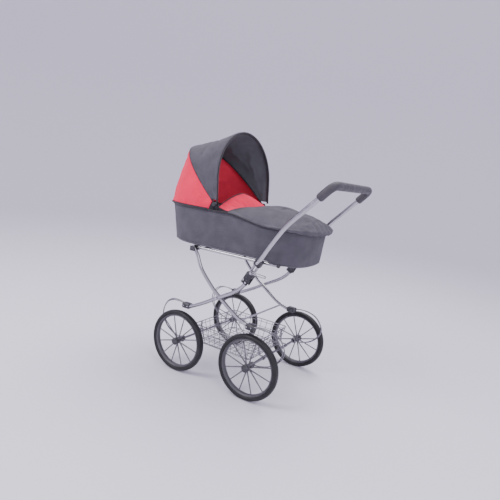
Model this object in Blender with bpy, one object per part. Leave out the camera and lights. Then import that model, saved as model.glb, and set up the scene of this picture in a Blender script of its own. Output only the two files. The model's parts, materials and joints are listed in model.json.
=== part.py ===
"""Doll stroller: a folding pram frame on four spoked wheels, with a lift-off carrycot, a folding
hood, a foot cover and a wire basket.

Metres, +Z up. The origin is at the bottom centre of the whole object: +X points to the push handle,
-X to the hood, +Y to the right-hand side of somebody who pushes. Each moving group hangs under an
empty that stands on its joint's axis.
"""

import math

import bmesh
import bpy
from mathutils import Matrix, Vector

# Driving dimensions, in metres.
LENGTH, WIDTH, HEIGHT = 0.670, 0.400, 0.835
GAP = 0.0003  # between pieces that touch

WHEEL_R, WHEEL_Y = 0.1075, 0.1795
TYRE_DEPTH, TYRE_WIDTH = 0.0150, 0.0240
RIM_DEPTH, RIM_WIDTH = 0.0064, 0.0170
HUB_R, HUB_BORE = 0.0085, 0.0044
SPOKE_R, SPOKES, SPOKE_PHASE = 0.0022, 12, 0.57
CAP_R, CAP_LENGTH = 0.0120, 0.0100
AXLE_R, FRONT_AXLE_X, REAR_AXLE_X = 0.0040, -0.1480, 0.1390
SIDES = {"left": -1, "right": 1}
AXLES = {"front": FRONT_AXLE_X, "rear": REAR_AXLE_X}

LEG_R, HANDLE_R, RAIL_R, STRUT_R, SPRING_R, TIE_R = 0.00625, 0.0075, 0.0050, 0.0042, 0.0026, 0.0030
PIN_R, PIN_HOLE_R = 0.0025, 0.0028
STRUT_LENGTH = 0.0480

# Distance of each layer of the frame from the middle plane.
RAIL_Y, REAR_LEG_Y, SPRING_Y, FRONT_LEG_Y, HANDLE_Y = 0.1280, 0.1420, 0.1500, 0.1570, 0.1600

# Pivots of one side of the frame, as (x, z).
CROSSING = (-0.0195, 0.2890)
CARRIER_PIVOT = (-0.1470, 0.4340)
FOLD_PIVOT = (0.1175, 0.4340)
KNEE = (0.0845, 0.3725)
RAIL_Z = CARRIER_PIVOT[1]
RAIL_END_X = 0.1720
REAR_TIE = (0.0710, 0.2335)

# The middle and the height of the bracket at a leg's lower end, as (x, low z, high z).
BRACKETS = {"front": (-0.1420, 0.2220, 0.2396), "rear": (0.1145, 0.2160, 0.2338)}

GRIP_R, GRIP_BAR_X, GRIP_BAR_Z = 0.0125, LENGTH / 2 - 0.0125, 0.6920
GRIP_ARM_Y, GRIP_CORNER_R = 0.1700, 0.0320

COT_BOTTOM, COT_WALL = 0.4395, 0.0050
COT_HEAD_X, COT_FOOT_X = -0.1550, 0.1285  # where the round ends of the plan begin
COT_HEAD_ROUND, COT_FOOT_ROUND = (0.1510, 0.1705), (0.1030, 0.1100)  # at the bottom, at the rim
COT_HALF_WIDTH = (0.1370, 0.1550)
RIM_HEAD_Z, RIM_FOOT_Z = 0.5690, 0.5480
BOARD_T, MATTRESS_T = 0.0030, 0.0220

COVER_X, COVER_CROWN, COVER_SKIRT = -0.0150, 0.0480, 0.0100  # foot cover
SHEET_T = 0.0025
FLAP_TOP_X, FLAP_TOP_Z, FLAP_HALF = -0.0660, 0.6290, 0.1410

HOOD_PIVOT = (-0.0700, 0.5900)
HOOD_BOW_R, HOOD_HALF = 0.0025, 0.1580
PANEL_OUT = 0.0094  # from the front bow's middle line to the front panel's outer side
HOOD_LEAN = 0.0215
HOOD_SPRING_LINE = 0.6735  # where the front bow's legs run into its half circle
MIDDLE_BOW_ANGLE, MIDDLE_BOW_REACH, MIDDLE_BOW_HALF = math.radians(137), 0.2650, 0.1520

BASKET_FLOOR_Z, BASKET_RIM_Z, BASKET_T = 0.0960, 0.1640, 0.0030
BASKET_X = (-0.1270, 0.1180)
BASKET_HALF, BASKET_TAPER = 0.1270, 0.0140

ROUND = 24  # segments round a small turned piece
WHEEL_ROUND = 32


# Scene, materials and groups


def clear_scene():
    for thing in list(bpy.data.objects):
        bpy.data.objects.remove(thing)


def material(name, colour, roughness, metallic=0.0):
    made = bpy.data.materials.new(name)
    made.use_nodes = True
    shader = made.node_tree.nodes["Principled BSDF"]
    shader.inputs["Base Color"].default_value = (*colour, 1)
    shader.inputs["Roughness"].default_value = roughness
    shader.inputs["Metallic"].default_value = metallic
    made.diffuse_color = (*colour, 1)
    return made


def group(name, place, parent=None):
    """An empty on a joint's axis, which carries one moving group."""
    empty = bpy.data.objects.new(name, None)
    bpy.context.collection.objects.link(empty)
    empty.empty_display_size = 0.02
    empty.matrix_world = Matrix.Translation(place)
    if parent:
        empty.parent = parent
        empty.location = Vector(place) - world_place(parent)
    return empty


def world_place(thing):
    place = thing.location.copy()
    while thing.parent:
        thing = thing.parent
        place += thing.location
    return place


def piece(name, mesh, finish, under, angle=30):
    """The mesh, given in world coordinates, as a named object under a group's empty."""
    mesh.name = name
    mesh.transform(Matrix.Translation(-world_place(under)))
    mesh.materials.clear()
    mesh.materials.append(finish)
    mesh.shade_smooth()
    mesh.set_sharp_from_angle(angle=math.radians(angle))
    made = bpy.data.objects.new(name, mesh)
    bpy.context.collection.objects.link(made)
    made.parent = under
    return made


# Shapes


def to_mesh(shape, weld=1e-6):
    bmesh.ops.remove_doubles(shape, verts=shape.verts, dist=weld)
    bmesh.ops.recalc_face_normals(shape, faces=shape.faces)
    mesh = bpy.data.meshes.new("shape")
    shape.to_mesh(mesh)
    shape.free()
    return mesh


def smooth_path(points, steps=4):
    """Points on a Catmull-Rom curve through the given ones."""
    points = [Vector(p) for p in points]
    ends = [2 * points[0] - points[1], *points, 2 * points[-1] - points[-2]]
    path = []
    for a, b, c, d in zip(ends, ends[1:], ends[2:], ends[3:]):
        for step in range(steps):
            t = step / steps
            path.append(
                0.5 * (2 * b + (c - a) * t + (2 * a - 5 * b + 4 * c - d) * t**2
                       + (3 * b - a - 3 * c + d) * t**3)
            )
    return [*path, points[-1]]


def rounded_path(points, radius, steps=5):
    """A run of straight lines through the points, with each corner bent to the radius."""
    points = [Vector(p) for p in points]
    path = [points[0]]
    for before, corner, after in zip(points, points[1:], points[2:]):
        a, b = (before - corner).normalized(), (after - corner).normalized()
        reach = radius / math.tan(a.angle(b) / 2)
        start, end = corner + a * reach, corner + b * reach
        for step in range(steps + 1):
            t = step / steps
            path.append((1 - t) ** 2 * start + 2 * t * (1 - t) * corner + t**2 * end)
    return [*path, points[-1]]


def tube(path, radius, resolution=2):
    """A bar along a path: a bevelled curve with filled caps, turned into a mesh."""
    data = bpy.data.curves.new("tube", "CURVE")
    data.dimensions = "3D"
    data.bevel_depth = radius
    data.bevel_resolution = resolution
    data.use_fill_caps = True
    line = data.splines.new("POLY")
    line.points.add(len(path) - 1)
    for point, place in zip(line.points, path):
        point.co = (*place, 1)
    bar = bpy.data.objects.new("tube", data)
    bpy.context.collection.objects.link(bar)
    graph = bpy.context.evaluated_depsgraph_get()
    raw = bpy.data.meshes.new_from_object(bar.evaluated_get(graph))
    bpy.data.objects.remove(bar)
    shape = bmesh.new()
    shape.from_mesh(raw)
    return to_mesh(shape, 1e-5)


def turned(profile, centre, segments=ROUND, closed=False):
    """A profile of (distance from the axis, y) spun about the Y axis through the centre (x, z)."""
    shape = bmesh.new()
    verts = [shape.verts.new((centre[0] + r, y, centre[1])) for r, y in profile]
    edges = [shape.edges.new(pair) for pair in zip(verts, verts[1:])]
    if closed:
        edges.append(shape.edges.new((verts[-1], verts[0])))
    bmesh.ops.spin(
        shape,
        geom=verts + edges,
        axis=(0, 1, 0),
        cent=(centre[0], 0, centre[1]),
        angle=math.tau,
        steps=segments,
    )
    return to_mesh(shape, 1e-5)


def cylinder(centre, y_low, y_high, radius, segments=ROUND):
    low, high = sorted((y_low, y_high))
    return turned([(0, low), (radius, low), (radius, high), (0, high)], centre, segments)


def block(low, high, bevel=0.0015):
    shape = bmesh.new()
    bmesh.ops.create_cube(shape, size=1)
    low, high = Vector(low), Vector(high)
    for vert in shape.verts:
        vert.co = Vector(
            tuple(lo + (hi - lo) * (c + 0.5) for c, lo, hi in zip(vert.co, low, high))
        )
    if bevel:
        bmesh.ops.bevel(
            shape, geom=shape.edges, offset=bevel, segments=1, affect="EDGES", profile=0.5
        )
    return to_mesh(shape)


def turned_about_y(mesh, angle, centre):
    """The mesh turned about the Y axis through (x, z); a positive angle tips +X up."""
    move = Matrix.Translation((centre[0], 0, centre[1]))
    mesh.transform(move @ Matrix.Rotation(-angle, 4, "Y") @ move.inverted())
    return mesh


def cut(mesh, tools, operation="DIFFERENCE"):
    """The mesh with each tool mesh taken away, or joined to it."""
    base = bpy.data.objects.new("base", mesh)
    bpy.context.collection.objects.link(base)
    helpers = []
    for tool in tools:
        helper = bpy.data.objects.new("tool", tool)
        bpy.context.collection.objects.link(helper)
        helpers.append(helper)
        change = base.modifiers.new("boolean", "BOOLEAN")
        change.operation = operation
        change.object = helper
    graph = bpy.context.evaluated_depsgraph_get()
    raw = bpy.data.meshes.new_from_object(base.evaluated_get(graph))
    for thing in [base, *helpers]:
        bpy.data.objects.remove(thing)
    shape = bmesh.new()
    shape.from_mesh(raw)
    return to_mesh(shape, 1e-6)


def joined(mesh, tools):
    return cut(mesh, tools, "UNION")


def sheet(rows, thickness, caps=False):
    """A closed skin on a grid of points, as thick as stated, grown to the inner side.

    Each row is a list of points. The outer side is the one from which the rows run upwards and the
    points run to the right.
    """
    grid = [[Vector(p) for p in row] for row in rows]
    count, width = len(grid), len(grid[0])

    def normal(i, j):
        along = grid[min(i + 1, count - 1)][j] - grid[max(i - 1, 0)][j]
        across = grid[i][min(j + 1, width - 1)] - grid[i][max(j - 1, 0)]
        return across.cross(along).normalized()

    shape = bmesh.new()
    outer = [[shape.verts.new(p) for p in row] for row in grid]
    inner = [
        [shape.verts.new(grid[i][j] - normal(i, j) * thickness) for j in range(width)]
        for i in range(count)
    ]
    for i in range(count - 1):
        for j in range(width - 1):
            for layer in (outer, inner):
                corners = (layer[i][j], layer[i][j + 1], layer[i + 1][j + 1], layer[i + 1][j])
                shape.faces.new(corners)
    edge = (
        [(0, j) for j in range(width)]
        + [(i, width - 1) for i in range(1, count)]
        + [(count - 1, j) for j in reversed(range(width - 1))]
        + [(i, 0) for i in reversed(range(1, count - 1))]
    )
    for (a, b), (c, d) in zip(edge, edge[1:] + edge[:1]):
        shape.faces.new((outer[a][b], outer[c][d], inner[c][d], inner[a][b]))
    return to_mesh(shape)


def lofted(rings):
    """A closed body through a stack of rings, with a flat face on the first and the last."""
    shape = bmesh.new()
    made = [[shape.verts.new(p) for p in ring] for ring in rings]
    count = len(made[0])
    for low, high in zip(made, made[1:]):
        for i in range(count):
            j = (i + 1) % count
            shape.faces.new((low[i], low[j], high[j], high[i]))
    shape.faces.new(list(reversed(made[0])))
    shape.faces.new(made[-1])
    return to_mesh(shape)


# Wheels, axles and springs


def tyre_mesh():
    half, r_in = TYRE_WIDTH / 2, WHEEL_R - TYRE_DEPTH
    shoulder = TYRE_WIDTH / 5
    profile = [
        (r_in, -half + 0.003),
        (r_in + 0.004, -half),
        (WHEEL_R - shoulder, -half),
        (WHEEL_R, -shoulder),
        (WHEEL_R, shoulder),
        (WHEEL_R - shoulder, half),
        (r_in + 0.004, half),
        (r_in, half - 0.003),
    ]
    return turned(profile, (0, 0), WHEEL_ROUND, closed=True)


def wheel_mesh():
    """Rim, twelve spokes and a long hub, moulded in one; its outer end is at -Y."""
    r_out = WHEEL_R - TYRE_DEPTH - GAP
    r_in, half = r_out - RIM_DEPTH, RIM_WIDTH / 2
    rim = turned(
        [(r_out, -half), (r_out, half), (r_in + 0.002, half), (r_in, 0.003), (r_in, -0.003),
         (r_in + 0.002, -half)],
        (0, 0), WHEEL_ROUND, closed=True,
    )
    spokes = []
    for k in range(SPOKES):
        spoke = tube([(0.0062, GAP, 0), (r_in + 0.0030, GAP, 0)], SPOKE_R, 1)
        spokes.append(turned_about_y(spoke, math.tau * (k + SPOKE_PHASE) / SPOKES, (0, 0)))
    outer_end = -(WIDTH / 2 - WHEEL_Y - CAP_LENGTH - GAP)
    hub = cylinder((0, 0), outer_end, HUB_INNER_END, HUB_R)
    bore = cylinder((0, 0), outer_end - 0.01, HUB_INNER_END + 0.01, HUB_BORE)
    return cut(joined(rim, [*spokes, hub]), [bore])


def cap_mesh():
    outer = -(WIDTH / 2 - WHEEL_Y)
    inner = outer + CAP_LENGTH
    profile = [(0, outer), (CAP_R - 0.003, outer), (CAP_R, outer + 0.003), (CAP_R, inner),
               (0, inner)]
    return turned(profile, (0, 0))


HUB_INNER_END = WHEEL_Y - SPRING_Y - 0.0050


def add_wheels(groups):
    """Four wheels that share their meshes; the right-hand ones are turned half round."""
    meshes = {"tyre": tyre_mesh(), "spoked_wheel": wheel_mesh(), "hub_cap": cap_mesh()}
    finishes = {"tyre": FOAM_TYRE, "spoked_wheel": SILVER_PLASTIC, "hub_cap": BLACK_PLASTIC}
    for kind, mesh in meshes.items():
        mesh.name = kind
        mesh.materials.append(finishes[kind])
        mesh.shade_smooth()
        mesh.set_sharp_from_angle(angle=math.radians(35))
    for end, x in AXLES.items():
        for side, sign in SIDES.items():
            hub = group(f"wheel_{end}_{side}", (x, sign * WHEEL_Y, WHEEL_R), groups[f"{end}_legs"])
            for kind, mesh in meshes.items():
                made = bpy.data.objects.new(f"{kind}_{end}_{side}", mesh)
                bpy.context.collection.objects.link(made)
                made.parent = hub
                made.rotation_euler.z = math.pi if sign > 0 else 0


def axle_mesh(x):
    half = WIDTH / 2 - CAP_LENGTH - 2 * GAP
    return cylinder((x, WHEEL_R), -half, half, AXLE_R)


# The middle line of a C spring, as (distance out from the axle, height). The upper part differs
# between the front (-1) and the rear (1), where the bracket sits further in.
SPRING_TOP = {
    -1: [(0.0120, 0.2355), (0.0360, 0.2380), (0.0620, 0.2350), (0.0840, 0.2225), (0.0980, 0.1990)],
    1: [(-0.0125, 0.2290), (0.0150, 0.2325), (0.0450, 0.2310), (0.0730, 0.2205), (0.0930, 0.1990)],
}
SPRING_LOW = [(0.1015, 0.1760), (0.0940, 0.1530), (0.0750, 0.1310), (0.0500, 0.1160),
              (0.0220, 0.1085), (0.0065, 0.1075)]


def spring_mesh(axle_x, out, y):
    """A C of spring wire from the leg's bracket round to an eye on the axle."""
    path = smooth_path([(axle_x + out * d, y, z) for d, z in [*SPRING_TOP[out], *SPRING_LOW]], 2)
    wire = tube(path, SPRING_R, 1)
    eye = cylinder((axle_x, WHEEL_R), y - 0.0030, y + 0.0030, 0.0085)
    bore = cylinder((axle_x, WHEEL_R), y - 0.0060, y + 0.0060, AXLE_R + GAP)
    return cut(joined(wire, [eye]), [bore])


# The frame


def in_plane(points, y):
    return [(x, y, z) for x, z in points]


def rear_leg_path(sign):
    points = [
        (CARRIER_PIVOT[0] - 0.0040, CARRIER_PIVOT[1] + 0.0050), (-0.1280, 0.4100), (-0.1050, 0.3660),
        (-0.0560, 0.3160), CROSSING, (0.0370, 0.2510), REAR_TIE, (0.1060, 0.2240),
    ]
    return smooth_path(in_plane(points, sign * REAR_LEG_Y), 2)


def front_leg_path(sign):
    points = [
        (-0.1570, 0.2305), (-0.1280, 0.2315), (-0.0990, 0.2440), (-0.0630, 0.2630), CROSSING,
        (0.0300, 0.3165), (0.0590, 0.3370), (0.0780, 0.3580), (KNEE[0] + 0.0020, KNEE[1] + 0.0040),
    ]
    return smooth_path(in_plane(points, sign * FRONT_LEG_Y), 2)


def pin_hole(place, y):
    return cylinder(place, y - 0.02, y + 0.02, PIN_HOLE_R, 12)


def add_legs(groups):
    for side, sign in SIDES.items():
        rear = cut(
            tube(rear_leg_path(sign), LEG_R),
            [pin_hole(CROSSING, sign * REAR_LEG_Y), pin_hole(CARRIER_PIVOT, sign * REAR_LEG_Y)],
        )
        piece(f"rear_leg_{side}", rear, CHROME, groups["rear_legs"])
        front = cut(tube(front_leg_path(sign), LEG_R), [pin_hole(CROSSING, sign * FRONT_LEG_Y)])
        piece(f"front_leg_{side}", front, CHROME, groups["front_legs"])
        inner, outer = REAR_LEG_Y - LEG_R - 0.0005, FRONT_LEG_Y + LEG_R + 0.0005
        rivet = [(0, inner - 0.002), (0.005, inner - 0.002), (0.005, inner), (PIN_R, inner),
                 (PIN_R, outer), (0.005, outer), (0.005, outer + 0.002), (0, outer + 0.002)]
        rivet = [(r, sign * y) for r, y in rivet]
        piece(f"crossing_rivet_{side}", turned(rivet, CROSSING, 12), CHROME, groups["front_legs"])
        for end, x in AXLES.items():
            out = -1 if x < 0 else 1
            spring = spring_mesh(x, out, sign * SPRING_Y)
            piece(f"c_spring_{end}_{side}", spring, CHROME, groups[f"{end}_legs"])
            add_leg_bracket(end, x, out, side, sign, groups)
    for end, x in AXLES.items():
        piece(f"{end}_axle", axle_mesh(x), CHROME, groups[f"{end}_legs"])
    add_rear_tie(groups)


def add_leg_bracket(end, x, out, side, sign, groups):
    """The plastic block that holds the end of a leg and the top of a C spring."""
    leg_y = REAR_LEG_Y if end == "rear" else FRONT_LEG_Y
    path = rear_leg_path(sign) if end == "rear" else front_leg_path(sign)
    low_y, high_y = min(leg_y, SPRING_Y) - 0.0085, max(leg_y, SPRING_Y) + 0.0085
    middle_x, low_z, high_z = BRACKETS[end]
    near, far = sorted((sign * low_y, sign * high_y))
    body = block((middle_x - 0.016, near, low_z), (middle_x + 0.016, far, high_z), 0.003)
    leg = tube(path, LEG_R + GAP)
    (start, start_z), (then, then_z) = SPRING_TOP[out][:2]
    spring_start = [(x + out * (start - GAP), sign * SPRING_Y, start_z),
                    (x + out * then, sign * SPRING_Y, then_z)]
    spring = tube(spring_start, SPRING_R + 2 * GAP)
    piece(f"{end}_bracket_{side}", cut(body, [leg, spring]), BLACK_PLASTIC, groups[f"{end}_legs"])


def add_rear_tie(groups):
    """A thin bar that holds the two rear legs apart."""
    half = REAR_LEG_Y - LEG_R - GAP
    bar = tube([(REAR_TIE[0], -half, REAR_TIE[1]), (REAR_TIE[0], half, REAR_TIE[1])], TIE_R)
    piece("rear_tie_bar", bar, CHROME, groups["rear_legs"])


def add_carrier(groups):
    """Two rails and a crossbar, on which the carrycot sits, and the brackets at their front."""
    root = groups["carrier"]
    front_x = CARRIER_PIVOT[0] - 0.0050
    for side, sign in SIDES.items():
        rail = tube([(front_x, sign * RAIL_Y, RAIL_Z), (RAIL_END_X, sign * RAIL_Y, RAIL_Z)], RAIL_R)
        rail = cut(rail, [pin_hole(FOLD_PIVOT, sign * RAIL_Y)])
        piece(f"carrier_rail_{side}", rail, CHROME, root)
        inner, outer = RAIL_Y + RAIL_R + GAP, REAR_LEG_Y - LEG_R - GAP
        x, z = CARRIER_PIVOT
        plate_y = sorted((sign * (REAR_LEG_Y + LEG_R + 0.0008), sign * (REAR_LEG_Y + LEG_R + 0.0038)))
        plate = block((x - 0.010, plate_y[0], z - 0.012), (x + 0.010, plate_y[1], z + 0.0045), 0.001)
        pin = cylinder(CARRIER_PIVOT, sign * (inner - RAIL_R * 0.6), sign * (REAR_LEG_Y + LEG_R + 0.002),
                       PIN_R, 12)
        collar = block((x - 0.009, *sorted((sign * inner, sign * outer))[:1], z - 0.009),
                       (x + 0.009, *sorted((sign * inner, sign * outer))[1:], z + 0.0045), 0.0004)
        wrap = block((x - 0.013, *sorted((sign * (RAIL_Y - 0.0075), sign * (inner + 0.0010)))[:1],
                      z - 0.009),
                     (x + 0.010, *sorted((sign * (RAIL_Y - 0.0075), sign * (inner + 0.0010)))[1:],
                      z + 0.0050), 0.001)
        bracket = joined(wrap, [collar, pin, plate])
        seat = tube([(front_x - GAP, sign * RAIL_Y, RAIL_Z), (RAIL_END_X, sign * RAIL_Y, RAIL_Z)],
                    RAIL_R + GAP)
        piece(f"carrier_bracket_{side}", cut(bracket, [seat]), BLACK_PLASTIC, root)
    half = RAIL_Y - RAIL_R - GAP
    for end, x in (("front", -0.1150), ("rear", 0.1600)):
        bar = tube([(x, -half, RAIL_Z), (x, half, RAIL_Z)], 0.0042)
        piece(f"carrier_crossbar_{end}", bar, CHROME, root)


def handle_path(sign=1, full=True):
    """One half of the handle from the fold joint to the middle of the grip, or the whole U."""
    arm = [
        (FOLD_PIVOT[0], HANDLE_Y, FOLD_PIVOT[1]), (0.1315, 0.1625, 0.4570), (0.1940, 0.1710, 0.5530),
        (0.2480, 0.1715, 0.6120), (0.2860, GRIP_ARM_Y, 0.6520),
    ]
    arm = smooth_path(arm, 3)
    corner = [arm[-1], (GRIP_BAR_X, GRIP_ARM_Y, GRIP_BAR_Z), (GRIP_BAR_X, 0, GRIP_BAR_Z)]
    half = arm[:-1] + rounded_path(corner, GRIP_CORNER_R, 5)
    right = [Vector(p) for p in half]
    left = [Vector((p.x, -p.y, p.z)) for p in reversed(right[:-1])]
    return right + left if full else right


def add_handle(groups):
    body = groups["handle"]
    path = handle_path()
    foot = path[0]
    piece("handle_tube", tube(path, HANDLE_R, 2), CHROME, body)
    grip_path = [p for p in path if p.x > 0.2850]
    grip = cut(tube(grip_path, GRIP_R, 3), [tube(path, HANDLE_R + GAP, 2)])
    piece("handle_grip", grip, FOAM_GRIP, body)
    down = (Vector((KNEE[0], 0, KNEE[1])) - Vector((FOLD_PIVOT[0], 0, FOLD_PIVOT[1]))).normalized()
    across = Vector((-down.z, 0, down.x))
    for side, sign in SIDES.items():
        centre = Vector((foot.x, sign * HANDLE_Y, foot.z))
        struts = {}
        for name, shift in (("front", -0.0065), ("rear", 0.0065)):
            start = centre + across * shift + down * 0.0040
            end = start + down * STRUT_LENGTH
            start.y = end.y = sign * FRONT_LEG_Y
            struts[name] = (start, end)
            piece(f"handle_strut_{name}_{side}", tube([start, end], STRUT_R), CHROME, body)
        add_fold_joint(side, sign, path, struts, body)
        add_knee_bracket(side, sign, struts, body)


def add_fold_joint(side, sign, path, struts, body):
    """The plastic block at the foot of the handle, with its pivot pin in the carrier rail."""
    low_y, high_y = RAIL_Y + RAIL_R + 0.0008, FRONT_LEG_Y - 0.0090
    x, z = FOLD_PIVOT
    near, far = sorted((sign * (FRONT_LEG_Y - 0.0095), sign * (FRONT_LEG_Y + 0.0095)))
    shell = block((x - 0.0125, near, z - 0.0110), (x + 0.0125, far, z + 0.0125), 0.003)
    lean = math.atan2(KNEE[0] - FOLD_PIVOT[0], FOLD_PIVOT[1] - KNEE[1])
    shell = turned_about_y(shell, lean, FOLD_PIVOT)
    pin = cylinder(FOLD_PIVOT, sign * (RAIL_Y - RAIL_R - 0.0010), sign * (high_y + 0.0020), PIN_R, 12)
    washer = cylinder(FOLD_PIVOT, sign * low_y, sign * (high_y + 0.0020), 0.0070, 16)
    side_path = [Vector((p.x, sign * abs(p.y), p.z)) for p in path[:8]]
    hollow = [tube(side_path, HANDLE_R + GAP)]
    for start, end in struts.values():
        back = start - (end - start).normalized() * GAP
        hollow.append(tube([back, end], STRUT_R + GAP))
    made = joined(cut(shell, hollow), [washer, pin])
    piece(f"fold_joint_{side}", made, BLACK_PLASTIC, body)


def add_knee_bracket(side, sign, struts, body):
    """Two cheeks over the top end of the front leg, joined by a web that holds the struts."""
    down = (struts["front"][1] - struts["front"][0]).normalized()
    lean = math.atan2(-down.x, -down.z)
    inner, outer = FRONT_LEG_Y - LEG_R - 0.0010, FRONT_LEG_Y + LEG_R + 0.0010
    parts = []
    for y_low, y_high in ((inner - 0.0028, inner), (outer, outer + 0.0028)):
        near, far = sorted((sign * y_low, sign * y_high))
        parts.append(block((KNEE[0] - 0.0125, near, KNEE[1] - 0.0120),
                           (KNEE[0] + 0.0125, far, KNEE[1] + 0.0300), 0.001))
    near, far = sorted((sign * (inner - 0.0010), sign * (outer + 0.0010)))
    web = block((KNEE[0] - 0.0120, near, KNEE[1] + 0.0175), (KNEE[0] + 0.0120, far, KNEE[1] + 0.0290),
                0)
    for part in (*parts, web):
        turned_about_y(part, -lean, KNEE)
    hollow = [tube([s, e + (e - s).normalized() * GAP], STRUT_R + GAP) for s, e in struts.values()]
    made = cut(joined(web, parts), hollow)
    heads = []
    for shift in (-0.0060, 0.0050):
        place = (KNEE[0] + shift, KNEE[1] + shift * 0.5)
        low = sign * (outer + 0.0020)
        heads.append(cylinder(place, low, sign * (outer + 0.0042), 0.0030, 10))
    piece(f"knee_bracket_{side}", joined(made, heads), BLACK_PLASTIC, body)


def add_frame_lock(groups):
    """A narrow wire loop that is pressed to let the frame fold."""
    y = -(FRONT_LEG_Y + LEG_R + 0.0075)
    x, z = LOCK_PIVOT
    loop = [(x + 0.0050, y, z + 0.0035), (x + 0.0460, y, z + 0.0010), (x + 0.0510, y, z - 0.0020),
            (x + 0.0460, y, z - 0.0050), (x + 0.0050, y, z - 0.0035)]
    wire = tube(smooth_path(loop, 3), 0.0013, 1)
    eye = cylinder((x, z), y - 0.0020, y + 0.0020, 0.0065, 16)
    bore = cylinder((x, z), y - 0.0060, y + 0.0060, PIN_HOLE_R, 12)
    piece("frame_lock_loop", cut(joined(wire, [eye]), [bore]), CHROME, groups["frame_lock"])
    inner = -(FRONT_LEG_Y + STRUT_R + GAP)
    outer = y - 0.0024
    pin = turned([(0, inner), (0.0042, inner), (0.0042, y + 0.0024), (PIN_R, y + 0.0024),
                  (PIN_R, outer), (0.0042, outer), (0.0042, outer - 0.0015), (0, outer - 0.0015)],
                 LOCK_PIVOT, 12)
    piece("frame_lock_pin", pin, CHROME, groups["handle"])


LOCK_PIVOT = (0.1040, 0.4020)


def add_basket(groups):
    """An open tray of wire mesh, as a thin-walled tray, with tabs that lie over the axles."""
    low_x, high_x = BASKET_X

    def ring(z, inset):
        taper = BASKET_TAPER * (BASKET_RIM_Z - z) / (BASKET_RIM_Z - BASKET_FLOOR_Z)
        x0, x1, y = low_x + taper + inset, high_x - taper - inset, BASKET_HALF - taper - inset
        return [(x0, -y, z), (x1, -y, z), (x1, y, z), (x0, y, z)]

    tray = lofted([
        ring(BASKET_FLOOR_Z, 0), ring(BASKET_RIM_Z, 0), ring(BASKET_RIM_Z, BASKET_T),
        ring(BASKET_FLOOR_Z + BASKET_T, BASKET_T),
    ])
    tabs = []
    low_z = WHEEL_R + AXLE_R + 0.0015
    for inner, outer in ((low_x + 0.012, FRONT_AXLE_X - 0.008), (high_x - 0.012, REAR_AXLE_X + 0.006)):
        for y in (-0.0800, 0.0800):
            a, b = sorted((inner, outer))
            tabs.append(block((a, y - 0.0060, low_z), (b, y + 0.0060, low_z + 0.0035), 0))
    inside = lofted([ring(BASKET_FLOOR_Z + BASKET_T, BASKET_T), ring(BASKET_RIM_Z + 0.01, BASKET_T)])
    piece("wire_basket", cut(joined(tray, tabs), [inside]), CHROME, groups["basket"])


# The carrycot


def between(pair, share):
    return pair[0] + (pair[1] - pair[0]) * share


def plan(share, inset, arc=12, side=4):
    """The carrycot's outline at a share of its height, moved in by inset, as (x, y) points.

    It runs from the near end of the round head over the head's middle to the far side, along the
    far side, round the foot and back along the near side.
    """
    half = between(COT_HALF_WIDTH, share) - inset
    head = between(COT_HEAD_ROUND, share) - inset
    foot = between(COT_FOOT_ROUND, share) - inset
    points = []
    for k in range(arc + 1):
        angle = math.pi * k / arc
        points.append((COT_HEAD_X - head * squared(math.sin(angle), 1.0),
                       -half * squared(math.cos(angle), 0.92)))
    for k in range(1, side):
        points.append((COT_HEAD_X + (COT_FOOT_X - COT_HEAD_X) * k / side, half))
    for k in range(arc + 1):
        angle = math.pi * k / arc
        points.append((COT_FOOT_X + foot * squared(math.sin(angle), 0.8),
                       half * squared(math.cos(angle), 0.8)))
    for k in range(1, side):
        points.append((COT_FOOT_X + (COT_HEAD_X - COT_FOOT_X) * k / side, -half))
    return points


def squared(value, power):
    return math.copysign(abs(value) ** power, value)


def rim_z(x):
    """The height of the carrycot's rim, which drops from the hood towards the foot."""
    share = min(max((x + 0.0300) / 0.1600, 0), 1)
    share = share * share * (3 - 2 * share)
    return RIM_HEAD_Z + (RIM_FOOT_Z - RIM_HEAD_Z) * share


def cot_ring(share, inset, lift=None):
    """A ring of the carrycot: at a share of the wall's height, or at a fixed height."""
    ring = []
    for x, y in plan(share, inset):
        z = COT_BOTTOM + (rim_z(x) - COT_BOTTOM) * share if lift is None else lift
        ring.append((x, y, z))
    return ring


def add_carrycot(groups):
    body = groups["carrycot"]
    floor = COT_BOTTOM + COT_WALL
    shell = lofted([
        cot_ring(0, 0.0120), cot_ring(0.04, 0.0030), cot_ring(0.14, 0), cot_ring(0.5, -0.0010),
        cot_ring(1, 0), cot_ring(1, COT_WALL), cot_ring(0.5, COT_WALL - 0.0010),
        cot_ring(0.14, COT_WALL), cot_ring(0, COT_WALL + 0.0080, floor),
    ])
    piece("carrycot_shell", shell, GREY_FABRIC, body, 60)
    board = [floor + GAP, floor + GAP + BOARD_T]
    base = lofted([cot_ring(0, 0.0150, z) for z in board])
    piece("base_board", base, BOARD, body)
    low = board[1] + GAP
    mattress = lofted([
        cot_ring(0, 0.0210, low), cot_ring(0, 0.0165, low + 0.006),
        cot_ring(0, 0.0165, low + MATTRESS_T - 0.006), cot_ring(0, 0.0240, low + MATTRESS_T),
    ])
    piece("mattress", mattress, WHITE_FABRIC, body, 60)
    piece("foot_cover", foot_cover_mesh(), GREY_FABRIC, body, 60)
    piece("wind_flap", wind_flap_mesh(), CORAL_FABRIC, body, 60)


def cover_half_width(x):
    """Half the foot cover's width: the carrycot's own outline, a little further out."""
    half, foot, out = COT_HALF_WIDTH[1], COT_FOOT_ROUND[1], COVER_OUT
    if x <= COT_FOOT_X:
        return half + out
    share = min((x - COT_FOOT_X) / (foot + out + COVER_TOE), 1)
    sine = share ** (1 / 0.8)
    return (half + out) * (1 - sine**2) ** 0.4


COVER_OUT, COVER_TOE = 0.0045, 0.0110


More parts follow.
